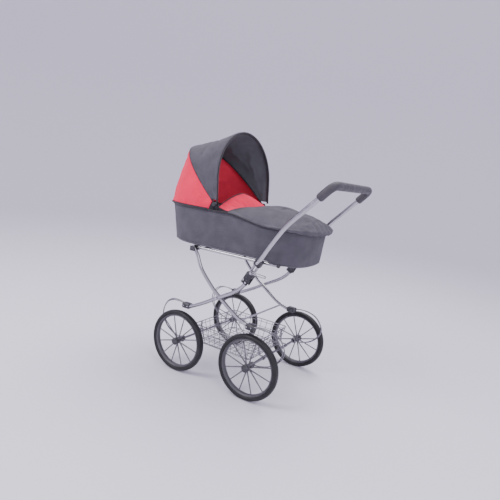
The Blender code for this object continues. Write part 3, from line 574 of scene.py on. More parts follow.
def look():
    """The camera stands where the photograph was taken, turned a little about its own axis."""
    azimuth, elevation, roll = (math.radians(v) for v in CAMERA_TURN)
    right = Vector((math.cos(azimuth), math.sin(azimuth), 0))
    back = Vector((math.sin(azimuth) * math.cos(elevation),
                   -math.cos(azimuth) * math.cos(elevation), math.sin(elevation)))
    up = back.cross(right)
    across = right * math.cos(roll) + up * math.sin(roll)
    upward = up * math.cos(roll) - right * math.sin(roll)
    data = bpy.data.cameras.new("camera")
    data.lens = CAMERA_LENS
    data.shift_x, data.shift_y = CAMERA_SHIFT
    data.clip_start = 0.02
    camera = bpy.data.objects.new("camera", data)
    bpy.context.collection.objects.link(camera)
    turn = Matrix((across, upward, back)).transposed()
    camera.matrix_world = Matrix.Translation(CAMERA_PLACE) @ turn.to_4x4()
    bpy.context.scene.camera = camera


def area_light(name, place, target, size, power, colour=(1, 1, 1)):
    data = bpy.data.lights.new(name, "AREA")
    data.shape = "DISK"
    data.size = size
    data.energy = power
    data.color = colour
    light = bpy.data.objects.new(name, data)
    bpy.context.collection.objects.link(light)
    light.location = place
    light.rotation_euler = (Vector(target) - Vector(place)).to_track_quat("-Z", "Y").to_euler()


def studio():
    look()
    area_light("key", (-1.3, -1.9, 2.3), (0, 0, 0.45), 1.4, 52, (1.0, 0.985, 1.0))
    area_light("fill", (2.3, -1.2, 1.5), (0, 0, 0.35), 2.0, 24, (0.97, 0.97, 1.0))
    area_light("top", (0.2, 0.9, 2.6), (0, 0, 0.3), 1.6, 34)
    world = bpy.data.worlds.new("studio")
    bpy.context.scene.world = world
    world.use_nodes = True
    sky = world.node_tree.nodes["Background"]
    sky.inputs["Color"].default_value = (0.86, 0.84, 0.94, 1)
    sky.inputs["Strength"].default_value = 1.35
    backdrop()


def backdrop():
    """A pale floor that rises into a round wall, so that no horizon shows from any side."""
    flat, bend, rise, steps, around = 4.5, 2.5, 6.0, 14, 96
    profile = [(0.5, 0.0)]
    for k in range(steps + 1):
        a = math.pi / 2 * k / steps
        profile.append((flat + bend * math.sin(a), bend - bend * math.cos(a)))
    profile.append((flat + bend, rise))
    verts, faces, count = [], [], len(profile)
    for k in range(around):
        a = math.tau * k / around
        verts += [(r * math.cos(a), r * math.sin(a), z) for r, z in profile]
    for k in range(around):
        a, b = k * count, (k + 1) % around * count
        faces += [(a + i, a + i + 1, b + i + 1, b + i) for i in range(count - 1)]
    faces.append(tuple(k * count for k in range(around)))
    mesh = bpy.data.meshes.new("floor")
    mesh.from_pydata(verts, [], faces)
    mesh.materials.append(floor_finish())
    mesh.shade_smooth()
    floor = bpy.data.objects.new("floor", mesh)
    bpy.context.collection.objects.link(floor)
    return floor


# ---------------------------------------------------------------- wheels

WHEEL_R, WHEEL_Y, TYRE_DEPTH, TYRE_HALF = 0.1075, 0.1795, 0.0150, 0.0120
RIM_DEPTH, RIM_HALF, SPOKES = 0.0064, 0.0085, 12


def wheel(end, x, side, sign):
    """A tyre, and a rim with its spokes and hub, turned about the axle."""
    body, centre, middle = f"wheel_{end}_{side}", (x, WHEEL_R), sign * WHEEL_Y
    r_in = WHEEL_R - TYRE_DEPTH
    profile = [(r_in, -0.0085), (r_in + 0.0025, -0.0105), (r_in + 0.0050, -0.0116)]
    for k in range(13):
        a = math.pi * (k / 12 - 0.5)
        profile.append((WHEEL_R - 0.0078 + 0.0078 * math.cos(a) ** 0.75, TYRE_HALF * math.sin(a)))
    profile += [(r_in + 0.0050, 0.0116), (r_in + 0.0025, 0.0105), (r_in, 0.0085)]
    groove = [(r, middle + y) for r, y in profile]
    verts, faces = turned(groove, centre, 128, closed=True)
    make(f"tyre_skin_{end}_{side}", verts, faces, [TYRE], body, "foam_tyre",
         [f"tyre_{end}_{side}"], angle=50)

    outer, inner = r_in - GAP, r_in - GAP - RIM_DEPTH
    rim = [(outer, -RIM_HALF), (outer, RIM_HALF), (outer - 0.0009, RIM_HALF + 0.0006),
           (inner + 0.0036, RIM_HALF + 0.0002), (inner + 0.0020, RIM_HALF - 0.0014),
           (inner + 0.0012, 0.0048), (inner, 0.0026), (inner, -0.0026), (inner + 0.0012, -0.0048),
           (inner + 0.0020, -RIM_HALF + 0.0014), (inner + 0.0036, -RIM_HALF - 0.0002),
           (outer - 0.0009, -RIM_HALF - 0.0006)]
    solid = turned([(r, middle + y) for r, y in rim], centre, 128, closed=True)
    flange = sign * (WHEEL_Y + 0.0100)
    back = sign * 0.1552
    hub = [(0.0045, flange), (0.0100, flange), (0.0125, flange - sign * 0.0012),
           (0.0125, flange - sign * 0.0040), (0.0092, flange - sign * 0.0062),
           (0.0086, middle - sign * 0.0040), (0.0086, back + sign * 0.0040),
           (0.0110, back + sign * 0.0025), (0.0110, back), (0.0045, back)]
    solid = added(solid, turned(hub, centre, 48, closed=True))
    for k in range(SPOKES):
        a = math.tau * (k + 0.57) / SPOKES
        lean = sign * (0.0022 if k % 2 else -0.0022)
        start = (x + 0.0078 * math.cos(a), middle + lean * 1.6, WHEEL_R + 0.0078 * math.sin(a))
        end_r = inner + 0.0016
        tip = (x + end_r * math.cos(a), middle, WHEEL_R + end_r * math.sin(a))
        solid = added(solid, rod(start, tip, (0.0024, 0.0018)))
        root = (x + 0.0150 * math.cos(a), middle + lean * 1.3, WHEEL_R + 0.0150 * math.sin(a))
        solid = added(solid, rod(start, root, (0.0040, 0.0024)))
    make(f"rim_{end}_{side}", *solid, [RIM], body, "silver_plastic",
         [f"spoked_wheel_{end}_{side}"], angle=38)


# ---------------------------------------------------------------- chassis

CROSSING, CARRIER_PIVOT = (-0.0195, 0.2890), (-0.1470, 0.4340)
FOLD_PIVOT, KNEE = (0.1175, 0.4340), (0.0845, 0.3725)
TUBE_R, RAIL_Z = 0.00625, 0.4340
RAIL_Y, REAR_LEG_Y, SPRING_Y, FRONT_LEG_Y, HANDLE_Y = 0.1280, 0.1420, 0.1500, 0.1570, 0.1600
REAR_TIE = (0.0710, 0.2335)
BRACKETS = {"front": (-0.1420, 0.2220, 0.2396), "rear": (0.1145, 0.2160, 0.2338)}

REAR_LEG = [(CARRIER_PIVOT[0] - 0.0040, CARRIER_PIVOT[1] + 0.0050), (-0.1280, 0.4100),
            (-0.1050, 0.3660), (-0.0560, 0.3160), CROSSING, (0.0370, 0.2510), REAR_TIE,
            (0.1060, 0.2240)]
FRONT_LEG = [(-0.1570, 0.2305), (-0.1280, 0.2315), (-0.0990, 0.2440), (-0.0630, 0.2630), CROSSING,
             (0.0300, 0.3165), (0.0590, 0.3370), (0.0780, 0.3580),
             (KNEE[0] + 0.0020, KNEE[1] + 0.0040)]
SPRING_LOW = [(0.1015, 0.1760), (0.0940, 0.1530), (0.0750, 0.1310), (0.0500, 0.1160),
              (0.0220, 0.1085), (0.0065, 0.1075)]
SPRINGS = {
    "front": [(0.0120, 0.2355), (0.0360, 0.2380), (0.0620, 0.2350), (0.0840, 0.2225),
              (0.0980, 0.1990), *SPRING_LOW],
    "rear": [(-0.0125, 0.2290), (0.0150, 0.2325), (0.0450, 0.2310), (0.0730, 0.2205),
             (0.0930, 0.1990), *SPRING_LOW],
}


def in_plane(points, y):
    return [(x, y, z) for x, z in points]


def dome(name, centre, y_base, y_top, radius, material, body, slot):
    """A rivet head or cap: a low dome on a short cylinder, along Y."""
    height = y_top - y_base
    profile = [(0.0001, y_base), (radius, y_base), (radius, y_base + height * 0.45)]
    for k in range(1, 7):
        a = math.pi / 2 * k / 6
        profile.append((max(radius * math.cos(a), 0.0001),
                        y_base + height * (0.45 + 0.55 * math.sin(a))))
    return make(name, *turned(profile, centre, 24), [material], body, slot, angle=40)


def chassis():
    for side, sign in SIDES.items():
        leg = smooth_path(in_plane(REAR_LEG, sign * REAR_LEG_Y))
        bars(f"rear_tube_{side}", [leg], TUBE_R, CHROME, "rear_legs",
             replaced=[f"rear_leg_{side}"])
        leg = smooth_path(in_plane(FRONT_LEG, sign * FRONT_LEG_Y))
        bars(f"front_tube_{side}", [leg], TUBE_R, CHROME, "front_legs",
             replaced=[f"front_leg_{side}"])
        rail = [(-0.1515, sign * RAIL_Y, RAIL_Z), (0.1715, sign * RAIL_Y, RAIL_Z)]
        bars(f"rail_tube_{side}", [rail], 0.0050, CHROME, "carrier",
             replaced=[f"carrier_rail_{side}"])
        for end, x in AXLES.items():
            spring(end, x, side, sign)
            wheel(end, x, side, sign)
        outer = FRONT_LEG_Y + TUBE_R + 0.0010 + 0.0028
        for k, (dx, dz) in enumerate(((-0.0075, 0.0030), (0.0010, -0.0060))):
            dome(f"knee_rivet_{side}_{k}", (KNEE[0] + dx, KNEE[1] + dz), sign * outer,
                 sign * (outer + 0.0026), 0.0036, CHROME, "handle", "chromed_steel")
        for end, (x, low, high) in BRACKETS.items():
            y = FRONT_LEG_Y if end == "front" else SPRING_Y
            out = 1 if end == "front" else -1
            for k, shift in enumerate((0.0095, -0.0070)):
                dome(f"bracket_rivet_{end}_{side}_{k}", (x + out * shift, (low + high) / 2),
                     sign * (y + 0.0082), sign * (y + 0.0104), 0.0026, CHROME, f"{end}_legs",
                     "chromed_steel")
        rail_cap(side, sign)
    for end, x in AXLES.items():
        bars(f"axle_bar_{end}", [[(x, -0.1893, WHEEL_R), (x, 0.1893, WHEEL_R)]], 0.0040, WIRE,
             f"{end}_legs", replaced=[f"{end}_axle"])
    half = REAR_LEG_Y - TUBE_R - GAP
    x, z = REAR_TIE
    bars("tie_bar", [[(x, -half, z), (x, half, z)]], 0.0030, CHROME,
         "rear_legs", replaced=["rear_tie_bar"])
    half = RAIL_Y - 0.0053
    for end, x in (("front", -0.1150), ("rear", 0.1600)):
        bars(f"crossbar_{end}", [[(x, -half, RAIL_Z), (x, half, RAIL_Z)]], 0.0042, CHROME,
             "carrier", replaced=[f"carrier_crossbar_{end}"])


RAIL_CAP = [(0.1680, 0.0003), (0.1680, 0.0062), (0.1700, 0.0068), (0.1745, 0.0068),
            (0.1765, 0.0050), (0.1770, 0.0003)]


def rail_cap(side, sign):
    """The black plug over a carrier rail's rear end."""
    y = sign * RAIL_Y
    rings = [round_ring(Vector((x, y, RAIL_Z)), Vector((0, r, 0)), Vector((0, 0, r)), 24)
             for x, r in RAIL_CAP]
    make(f"rail_cap_{side}", *lofted(rings), [BLACK], "carrier", "black_plastic", angle=40)


def spring(end, x, side, sign):
    """A C spring of two strands of wire that meet in a wound eye on the axle."""
    out = -1 if end == "front" else 1
    strands = []
    for k, (dy, grow) in enumerate(((-0.0030, 0.0022), (0.0030, -0.0022))):
        path = []
        for i, (d, z) in enumerate(SPRINGS[end]):
            part = math.sin(math.pi * min(i, 8) / 8) if i < 9 else 0
            centre = Vector((0.045, 0.172))
            away = (Vector((d, z)) - centre).normalized() * grow * part
            spread = dy * (1 if i < 6 else max(0.35, 1 - (i - 5) * 0.2))
            path.append((x + out * (d + away.x), sign * (SPRING_Y + spread), z + away.y))
        strands.append(smooth_path(path, 5))
    turns = []
    for k in range(49):
        a = math.tau * 3 * k / 48
        turns.append((x + 0.0070 * math.cos(a), sign * (SPRING_Y - 0.0035 + 0.0070 * k / 48),
                      WHEEL_R + 0.0070 * math.sin(a)))
    bars(f"spring_wire_{end}_{side}", [*strands, turns], 0.0018, WIRE, f"{end}_legs",
         replaced=[f"c_spring_{end}_{side}"], resolution=4)


# ---------------------------------------------------------------- handle

GRIP_ARM_Y, GRIP_BAR = 0.1700, (0.3225, 0.6920)
GRIP_R, GRIP_START_X, GRIP_STEPS, GRIP_SIDES = 0.0125, 0.2850, 120, 28


def handle_points():
    arm = smooth_path([(FOLD_PIVOT[0], HANDLE_Y, FOLD_PIVOT[1]), (0.1315, 0.1625, 0.4570),
                       (0.1940, 0.1710, 0.5530), (0.2480, 0.1715, 0.6120),
                       (0.2860, GRIP_ARM_Y, 0.6520)], 8)
    corner = [arm[-1], (GRIP_BAR[0], GRIP_ARM_Y, GRIP_BAR[1]), (GRIP_BAR[0], 0, GRIP_BAR[1])]
    half = arm[:-1] + rounded_path(corner, 0.0320, 10)
    return half + [Vector((p.x, -p.y, p.z)) for p in reversed(half[:-1])]


def sleeve_rings(path):
    """Rings of the foam over the grip, with rounded ends and a faint ripple."""
    line = resampled([p for p in path if p.x > GRIP_START_X], GRIP_STEPS)
    rings = []
    for i, place in enumerate(line):
        along = (line[min(i + 1, GRIP_STEPS)] - line[max(i - 1, 0)]).normalized()
        across = along.cross(Vector((0.6, 0, -0.8))).normalized()
        other = along.cross(across)
        ease = 1 - 0.18 * max(0, 1 - min(i, GRIP_STEPS - i) / 1.5) ** 2
        ring = []
        for k, point in enumerate(round_ring(Vector(), across, other, GRIP_SIDES)):
            ripple = 0.00022 * noise.noise(place * 160 + Vector((k, 0, 0)))
            ring.append(place + point * (GRIP_R * ease + ripple))
        rings.append(ring)
    return rings


def handle():
    path = handle_points()
    bars("handle_bar", [path], 0.0075, CHROME, "handle", replaced=["handle_tube"], resolution=7)
    make("grip_sleeve", *lofted(sleeve_rings(path)), [GRIP], "handle", "foam_grip",
         ["handle_grip"], angle=50)
    down = Vector((KNEE[0] - FOLD_PIVOT[0], 0, KNEE[1] - FOLD_PIVOT[1])).normalized()
    across = Vector((-down.z, 0, down.x))
    for side, sign in SIDES.items():
        for name, shift in (("front", -0.0065), ("rear", 0.0065)):
            centre = Vector((FOLD_PIVOT[0], sign * FRONT_LEG_Y, FOLD_PIVOT[1]))
            start = centre + across * shift + down * 0.0040
            bars(f"strut_{name}_{side}", [[start, start + down * 0.0480]], 0.0042, CHROME,
                 "handle", replaced=[f"handle_strut_{name}_{side}"])
        dome(f"fold_pin_head_{side}", FOLD_PIVOT, sign * 0.1663, sign * 0.1690, 0.0042, CHROME,
             "handle", "chromed_steel")
    x, z, y = 0.1040, 0.4020, -(FRONT_LEG_Y + TUBE_R + 0.0075)
    loop = [(x + 0.0050, y, z + 0.0035), (x + 0.0460, y, z + 0.0010), (x + 0.0510, y, z - 0.0020),
            (x + 0.0460, y, z - 0.0050), (x + 0.0050, y, z - 0.0035)]
    eye = [(x + 0.0058 * math.cos(math.tau * k / 32), y, z + 0.0058 * math.sin(math.tau * k / 32))
           for k in range(33)]
    bars("lock_wire", [smooth_path(loop, 8), eye], 0.0014, WIRE, "frame_lock",
         replaced=["frame_lock_loop"])


# ---------------------------------------------------------------- basket


def basket():
    """A tray of welded wire: doubled long wires along the sides and a mesh floor."""
    x0, x1, half, taper, low, top = -0.1270, 0.1180, 0.1270, 0.0140, 0.0960, 0.1640

    def ring(z):
        inset = taper * (top - z) / (top - low) + 0.0016
        a, b, c, r = x0 + inset, x1 - inset, half - inset, 0.016
        corners = [(a, 0, z), (a, -c, z), (b, -c, z), (b, c, z), (a, c, z), (a, 0, z)]
        return rounded_path(corners, r, 5)[:-1]

    frame_wires = [ring(top - 0.0016), ring(low + 0.0016)]
    bars("basket_frame", frame_wires, 0.0016, WIRE, "basket", resolution=3, cyclic=True,
         replaced=["wire_basket"])
    thin = [[*ring(z), ring(z)[0]] for z in (low + 0.0240, top - 0.0110, top - 0.0300)]
    for k in range(10):
        share = (k + 0.5) / 10
        xt, xb = x0 + (x1 - x0) * share, x0 + taper + (x1 - x0 - 2 * taper) * share
        yt, yb = half - 0.0030, half - taper - 0.0030
        across = [(xt, -yt, top), (xb, -yb, low), (xb, yb, low), (xt, yt, top)]
        thin.append(rounded_path(across, 0.006, 3))
    for k in range(10):
        share = (k + 0.5) / 10
        yt, yb = half * (2 * share - 1), (half - taper) * (2 * share - 1)
        lengthways = [(x0 + 0.0030, yt, top), (x0 + taper + 0.0030, yb, low),
                      (x1 - taper - 0.0030, yb, low), (x1 - 0.0030, yt, top)]
        thin.append(rounded_path(lengthways, 0.006, 3))
    bars("basket_mesh", thin, 0.0010, WIRE, "basket", resolution=2)
    hooks, over = [], WHEEL_R + 0.0056
    rear, front = AXLES["rear"], AXLES["front"]
    for y in (-0.0830, -0.0770, 0.0770, 0.0830):
        hooks.append(smooth_path([(x1 - 0.0030, y, top - 0.002), (x1 + 0.004, y, over + 0.004),
                                  (rear, y, over + 0.0005), (rear + 0.006, y, WHEEL_R),
                                  (rear + 0.001, y, WHEEL_R - 0.0056)], 5))
        hooks.append(smooth_path([(x0 + 0.0030, y, top - 0.002), (x0 - 0.004, y, over + 0.004),
                                  (front, y, over + 0.0015),
                                  (front - 0.0075, y, WHEEL_R + 0.004)], 5))
    bars("basket_hooks", hooks, 0.0013, WIRE, "basket", resolution=3)


# ---------------------------------------------------------------- carrycot

COT_BOTTOM, COT_WALL, COT_HEAD_X, COT_FOOT_X = 0.4395, 0.0050, -0.1550, 0.1285
COT_HEAD_ROUND, COT_FOOT_ROUND = (0.1510, 0.1705), (0.1030, 0.1100)
COT_HALF_WIDTH = (0.1370, 0.1550)
RIM_HEAD_Z, RIM_FOOT_Z = 0.5690, 0.5480


def between(pair, share):
    return pair[0] + (pair[1] - pair[0]) * share


def power(value, exponent):
    return math.copysign(abs(value) ** exponent, value)


def eased(value, low, high):
    t = min(max((value - low) / (high - low), 0), 1)
    return t * t * (3 - 2 * t)


def rim_z(x):
    return RIM_HEAD_Z + (RIM_FOOT_Z - RIM_HEAD_Z) * eased(x, -0.0300, 0.1300)


def plan(share, inset, count=160):
    """The carrycot's outline at a share of its height, evenly spaced, from the head's middle."""
    half = between(COT_HALF_WIDTH, share) - inset
    head = between(COT_HEAD_ROUND, share) - inset
    foot = between(COT_FOOT_ROUND, share) - inset
    points = []
    for k in range(41):
        a = math.pi * (k / 40 - 0.5)
        points.append((COT_HEAD_X - head * math.cos(a), half * power(math.sin(a), 0.92), 0))
    for k in range(61):
        a = math.pi * k / 60
        points.append((COT_FOOT_X + foot * power(math.sin(a), 0.8),
                       half * power(math.cos(a), 0.8), 0))
    points.append(points[0])
    head_middle = 20
    from_head = points[head_middle:-1] + points[:head_middle + 1]
    return [(p.x, p.y) for p in resampled(from_head, count)[:-1]]


def cot_ring(share, inset, lift=None, count=160):
    ring = []
    for x, y in plan(share, inset, count):
        z = COT_BOTTOM + (rim_z(x) - COT_BOTTOM) * share if lift is None else lift
        ring.append(Vector((x, y, z)))
    return ring


def wrinkle(place, size, depth, seed=0.0):
    return depth * noise.noise(place * (1 / size) + Vector((seed, 2 * seed, 3 * seed)))


def drooped(ring, share, inset):
    """The cover's lower edge hangs a little lower round the foot, outside the carrier's rails."""
    start, end = (0.1250, 0.1600) if inset < 0.0030 else (0.1760, 0.2000)
    return [p - Vector((0, 0, 0.0110 * eased(p.x, start, end) * (1 - share) ** 3)) for p in ring]


def shell():
    """The carrycot's sewn cover: a soft lower edge and slack cloth between board and rim."""
    shares = [0, 0.015, 0.05, 0.10, 0.16, 0.24, 0.33, 0.42, 0.51, 0.60, 0.69, 0.78, 0.87, 0.94, 1]
    insets = [0.0150, 0.0062, 0.0020, 0.0004] + [0] * 11
    rings = [drooped(cot_ring(s, i), s, i) for s, i in zip(shares, insets)]
    for row, share in zip(rings, shares):
        slack = math.sin(math.pi * min(max((share - 0.05) / 0.95, 0), 1))
        for k, place in enumerate(row):
            out = Vector((place.x + 0.02, place.y * 2.2, 0)).normalized()
            long_fold = Vector((place.x, place.y, place.z * 0.35))
            move = wrinkle(long_fold, 0.055, 0.0034, 1.0) * slack
            move += wrinkle(place, 0.022, 0.0011, 4.0) * slack
            upright = Vector((place.x * 2.5, place.y * 2.5, place.z))
            move += wrinkle(upright, 0.030, 0.0016, 7.0) * (1 - share) * min(share * 12, 1)
            row[k] = place + out * (move - 0.0016 * slack)
    floor = COT_BOTTOM + COT_WALL
    rings += [cot_ring(1, COT_WALL), cot_ring(0.6, COT_WALL), cot_ring(0.14, COT_WALL),
              cot_ring(0, COT_WALL + 0.0080, floor)]
    kinds = [0] * (14 * 160) + [1] * (4 * 160) + [0, 1]
    piece = make("cot_cover", *lofted(rings), [GREY, GREY_SHADED_INSIDE], "carrycot", "grey_fabric",
                 ["carrycot_shell"], kinds)
    piping("rim_binding", [shifted(cot_ring(1, -0.0004), 0, -0.0010)], 0.0030, cyclic=True)
    seam = drooped(cot_ring(0.055, 0.0014), 0.055, 0.0014)
    bars("bottom_piping", [seam], 0.0013, THREAD_GREY, "carrycot", resolution=3,
         cyclic=True)
    below = cot_ring(0.94, -0.0006)
    stitches("rim_stitches", [*below, below[0]], STITCH_R, THREAD_GREY, "carrycot")


def mattress():
    low = COT_BOTTOM + COT_WALL + GAP + 0.0030 + GAP
    rings = []
    for z, inset in ((0, 0.0225), (0.003, 0.0175), (0.008, 0.0160), (0.015, 0.0162),
                     (0.020, 0.0185), (0.0225, 0.0240), (0.0238, 0.0420), (0.0242, 0.0650),
                     (0.0244, 0.0900), (0.0245, 0.1150)):
        ring = cot_ring(0, inset, low + z, 96)
        for k, place in enumerate(ring):
            if inset > 0.02 and z > 0.01:
                quilt = math.cos(place.x * 110) * math.cos(place.y * 110)
                ring[k] = place + Vector((0, 0, 0.0016 * quilt - 0.0030))
        rings.append(ring)
    piece = make("mattress_pad", *lofted(rings), [WHITE], None, "white_fabric")
    puffed(piece, 0.0060, low + 0.0002)
    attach(piece, "carrycot")
    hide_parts("mattress")


COVER_X, COVER_CROWN, COVER_OUT, COVER_TOE = -0.0150, 0.0480, 0.0022, 0.0125
COVER_END = COT_FOOT_X + COT_FOOT_ROUND[1] + COVER_OUT + COVER_TOE
COVER_MIDDLE = Vector((0.1000, 0, 0))


def cover_half(x):
    half, foot = COT_HALF_WIDTH[1] + COVER_OUT, COT_FOOT_ROUND[1] + COVER_OUT + COVER_TOE
    if x <= COT_FOOT_X:
        return half
    share = min((x - COT_FOOT_X) / foot, 1)
    return half * (1 - share**2.5) ** 0.4


def cover_top(x, y):
    """The foot cover's height: low at the seam, full over the middle and lower at the foot."""
    half = max(cover_half(x), 0.0005)
    rise = 0.30 + 0.70 * eased(x, COVER_X, COVER_X + 0.1200)
    fall = 1 - 0.50 * max(0, (x - 0.07) / (COVER_END - 0.07)) ** 1.2
    crown = COVER_CROWN * rise * fall * min(half / cover_half(0), 1) ** 0.6
    return rim_z(x) + 0.0048 + crown * (1 - min(abs(y) / half, 1) ** 2.6)


def cover_outline():
    """The cover's edge from the near seam corner round the foot, then back across the seam."""
    points = []
    for k in range(121):
        x = COVER_X + (COVER_END - COVER_X) * (1 - (1 - k / 120) ** 2.2)
        points.append(Vector((x, -cover_half(x), 0)))
    points += [Vector((p.x, -p.y, 0)) for p in reversed(points[:-1])]
    edge = resampled(points, 220)
    half = cover_half(COVER_X)
    seam = [Vector((COVER_X, half * (1 - 2 * k / 60), 0)) for k in range(1, 60)]
    return edge, seam


def foot_share(i, edge_count):
    """One at the middle of the foot, falling to nothing along the sides and on the seam."""
    if i >= edge_count:
        return 0
    return math.exp(-((i / (edge_count - 1) - 0.5) / 0.24) ** 2)


def gather_wave(i):
    """The elastic's gathers along the edge."""
    return math.sin(i * 0.66 + 3.2 * noise.noise(Vector((i * 0.05, 1, 0))))


def cover_rings():
    """Rings from the cover's middle out to its edge, then a roll that is tucked under."""
    edge, seam = cover_outline()
    outline = edge + seam
    rings = []
    for k in range(1, 35):
        share = (k / 34) ** 0.9
        ring = []
        for i, p in enumerate(outline):
            place = COVER_MIDDLE.lerp(p, share)
            place.z = cover_top(place.x, place.y)
            foot = foot_share(i, len(edge))
            gather = gather_wave(i) * max(0, (share - 0.72) / 0.28) ** 1.6
            out = (p - COVER_MIDDLE).normalized()
            loose = wrinkle(Vector((place.x * 0.7, place.y * 1.3, 0)), 0.045, 0.0026, 2.0)
            loose += wrinkle(place, 0.018, 0.0010, 5.0)
            hold = min((1 - share) * 6, 1)
            place.z += loose * hold + 0.0010 * foot * gather
            ring.append(place + out * (0.0015 * foot * gather))
        rings.append(ring)
    last = rings[-1]
    for k in range(1, 8):
        turn = math.pi * 1.05 * k / 7
        ring = []
        for i, (p, base) in enumerate(zip(last, outline)):
            out = (base - COVER_MIDDLE).normalized()
            foot = foot_share(i, len(edge))
            radius = 0.0012 if i >= len(edge) else 0.0027 + 0.0063 * foot
            pinch = 1 - 0.09 * foot * gather_wave(i)
            bulge = radius * math.sin(turn) * (0.35 + 0.45 * foot) * pinch
            drop = radius * (1 - math.cos(turn)) * pinch
            ring.append(p + out * bulge - Vector((0, 0, drop)))
        rings.append(ring)
    return rings, len(edge), len(outline)


def foot_cover():
    """The padded cover over the foot half, gathered by elastic round the foot end."""
    rings, edge_count, count = cover_rings()
    pinned = [k for k in range(count) if k >= edge_count - 2 or k < 2]
    held = {(33, k) for k in pinned} | {(r, k) for r in range(34, 41) for k in range(count)}
    rings = simulated(rings, held, 1.0, 0.015, 0.0080, closed=True)
    piece = make("foot_cover_pad", *closed_dome(rings, 0.0030), [GREY], "carrycot",
                 "grey_fabric", ["foot_cover"])
    low = rings[-1][:edge_count]
    low = [p + (p - COVER_MIDDLE).normalized() * 0.0020 - Vector((0, 0, 0.0008)) for p in low]
    piping("hem_binding", [low[2:82], low[-82:-2]], 0.0022, 3)
    seam = [Vector((COVER_X + 0.0008, y, cover_top(COVER_X, y) + 0.0012))
            for y in [cover_half(0) * (-1 + 2 * k / 60) for k in range(61)]]
    bars("flap_seam", [seam], 0.0012, THREAD_GREY, "carrycot", resolution=3)
    stitches("flap_stitches", shifted(seam, 0.0050, 0.0006), STITCH_R, THREAD_GREY, "carrycot")
    trace = shifted(rings[30][40:edge_count - 40], 0, 0.0006)
    stitches("elastic_stitches", trace, 0.00036, THREAD_GREY, "carrycot")


def closed_dome(rings, thickness):
    """A closed skin through rings that widen from a middle, as thick as stated."""
    count, width = len(rings), len(rings[0])

    def normal(i, j):
        along = rings[min(i + 1, count - 1)][j] - rings[max(i - 1, 0)][j]
        across = rings[i][(j + 1) % width] - rings[i][j - 1]
        return along.cross(across).normalized()

    verts = [p for ring in rings for p in ring]
    verts += [rings[i][j] - normal(i, j) * thickness for i in range(count) for j in range(width)]
    total, faces = count * width, []
    for i in range(count - 1):
        for j in range(width):
            k = (j + 1) % width
            a, b, c, d = i * width + j, i * width + k, (i + 1) * width + k, (i + 1) * width + j
            faces += [(a, d, c, b), (a + total, b + total, c + total, d + total)]
    last = (count - 1) * width
    for j in range(width):
        k = (j + 1) % width
        faces.append((last + j, last + j + total, last + k + total, last + k))
    faces.append(tuple(range(width)))
    faces.append(tuple(reversed(range(total, total + width))))
    return verts, faces


FLAP_TOP_X, FLAP_TOP_Z, FLAP_HALF = -0.0660, 0.6290, 0.1410


def wind_flap():
    """The coral flap at the cover's front edge, an arch that leans towards the hood."""
    rows = []
    seam_z = rim_z(COVER_X) + 0.0048
    for i in range(17):
        share = i / 16
        x = COVER_X - 0.0008 + (FLAP_TOP_X - COVER_X) * share
        half = between((COT_HALF_WIDTH[1] + COVER_OUT - 0.0010, FLAP_HALF), share**0.8)
        edge = between((seam_z, 0.5800), share)
        crown = between((COVER_CROWN * 0.30, FLAP_TOP_Z - 0.5800), share)
        row = []
        for j in range(81):
            v = 2 * j / 80 - 1
            bow = 0.0030 * math.sin(math.pi * share) * (1 - v * v)
            arch = 1 - abs(v) ** (2.6 - 1.0 * share)
            loose = wrinkle(Vector((x * 0.8, half * v, 0)), 0.035, 0.0016, 9.0)
            loose *= math.sin(math.pi * share)
            row.append(Vector((x, half * v, edge + (crown + bow) * arch + loose)))
        rows.append(row)
    rows = simulated(rows, sewn_edges(rows), 1.5, 0.02, 0.0030)
    piece = skin("wind_flap_cloth", rows, 0.0022, [CORAL, CORAL_SHADED_INSIDE], "carrycot",
                 "coral_fabric", ["wind_flap"])
    piping("flap_piping", [rows[-1]], 0.0022)
    sides = [shifted([row[j] for row in rows], 0, -0.0004) for j in (0, 80)]
    piping("flap_side_piping", sides, 0.0018)
    inner = shifted(rows[-1], 0.0060, 0.0004)
    stitches("flap_edge_stitches", inner, STITCH_R, THREAD_CORAL, "carrycot")
    arch, run = run_length(rows[8]), run_length([row[40] for row in rows])


# ---------------------------------------------------------------- hood

HOOD_PIVOT, HOOD_HALF, HOOD_LEAN, HOOD_SPRING_LINE = (-0.0700, 0.5900), 0.1580, 0.0215, 0.6735
PANEL_OUT, HEIGHT, BOW_STEPS = 0.0094, 0.835, 96
CANOPY_MIDDLE = Vector((-0.1600, 0, 0.6000))
MIDDLE_ANGLE, MIDDLE_REACH, MIDDLE_HALF = math.radians(137), 0.2650, 0.1520


def front_bow(out=0.0, low=0.5980):
    half, top = HOOD_HALF + out, HEIGHT - PANEL_OUT + out
    points = [(low, -half)]
    for k in range(61):
        a = math.pi * k / 60
        points.append((HOOD_SPRING_LINE + (top - HOOD_SPRING_LINE) * math.sin(a),
                       -half * math.cos(a)))
    points.append((low, half))
    foot = 0.5980
    places = [Vector((HOOD_PIVOT[0] + 0.0120 - HOOD_LEAN * (z - foot) / (top - foot), y, z))
              for z, y in points]
    return resampled(places, BOW_STEPS)


def middle_bow(out, ahead, start):
    reach, half = MIDDLE_REACH + out, MIDDLE_HALF + out
    lowest = math.asin((start / reach) ** 1.25)
    along = Vector((math.cos(MIDDLE_ANGLE), 0, math.sin(MIDDLE_ANGLE)))
    forward = Vector((math.sin(MIDDLE_ANGLE), 0, -math.cos(MIDDLE_ANGLE)))
    points = []
    for k in range(81):
        a = lowest + (math.pi - 2 * lowest) * k / 80
        points.append(Vector((HOOD_PIVOT[0], -half * power(math.cos(a), 0.8), HOOD_PIVOT[1]))
                      + along * reach * power(math.sin(a), 0.8) + forward * ahead)
    return resampled(points, BOW_STEPS)


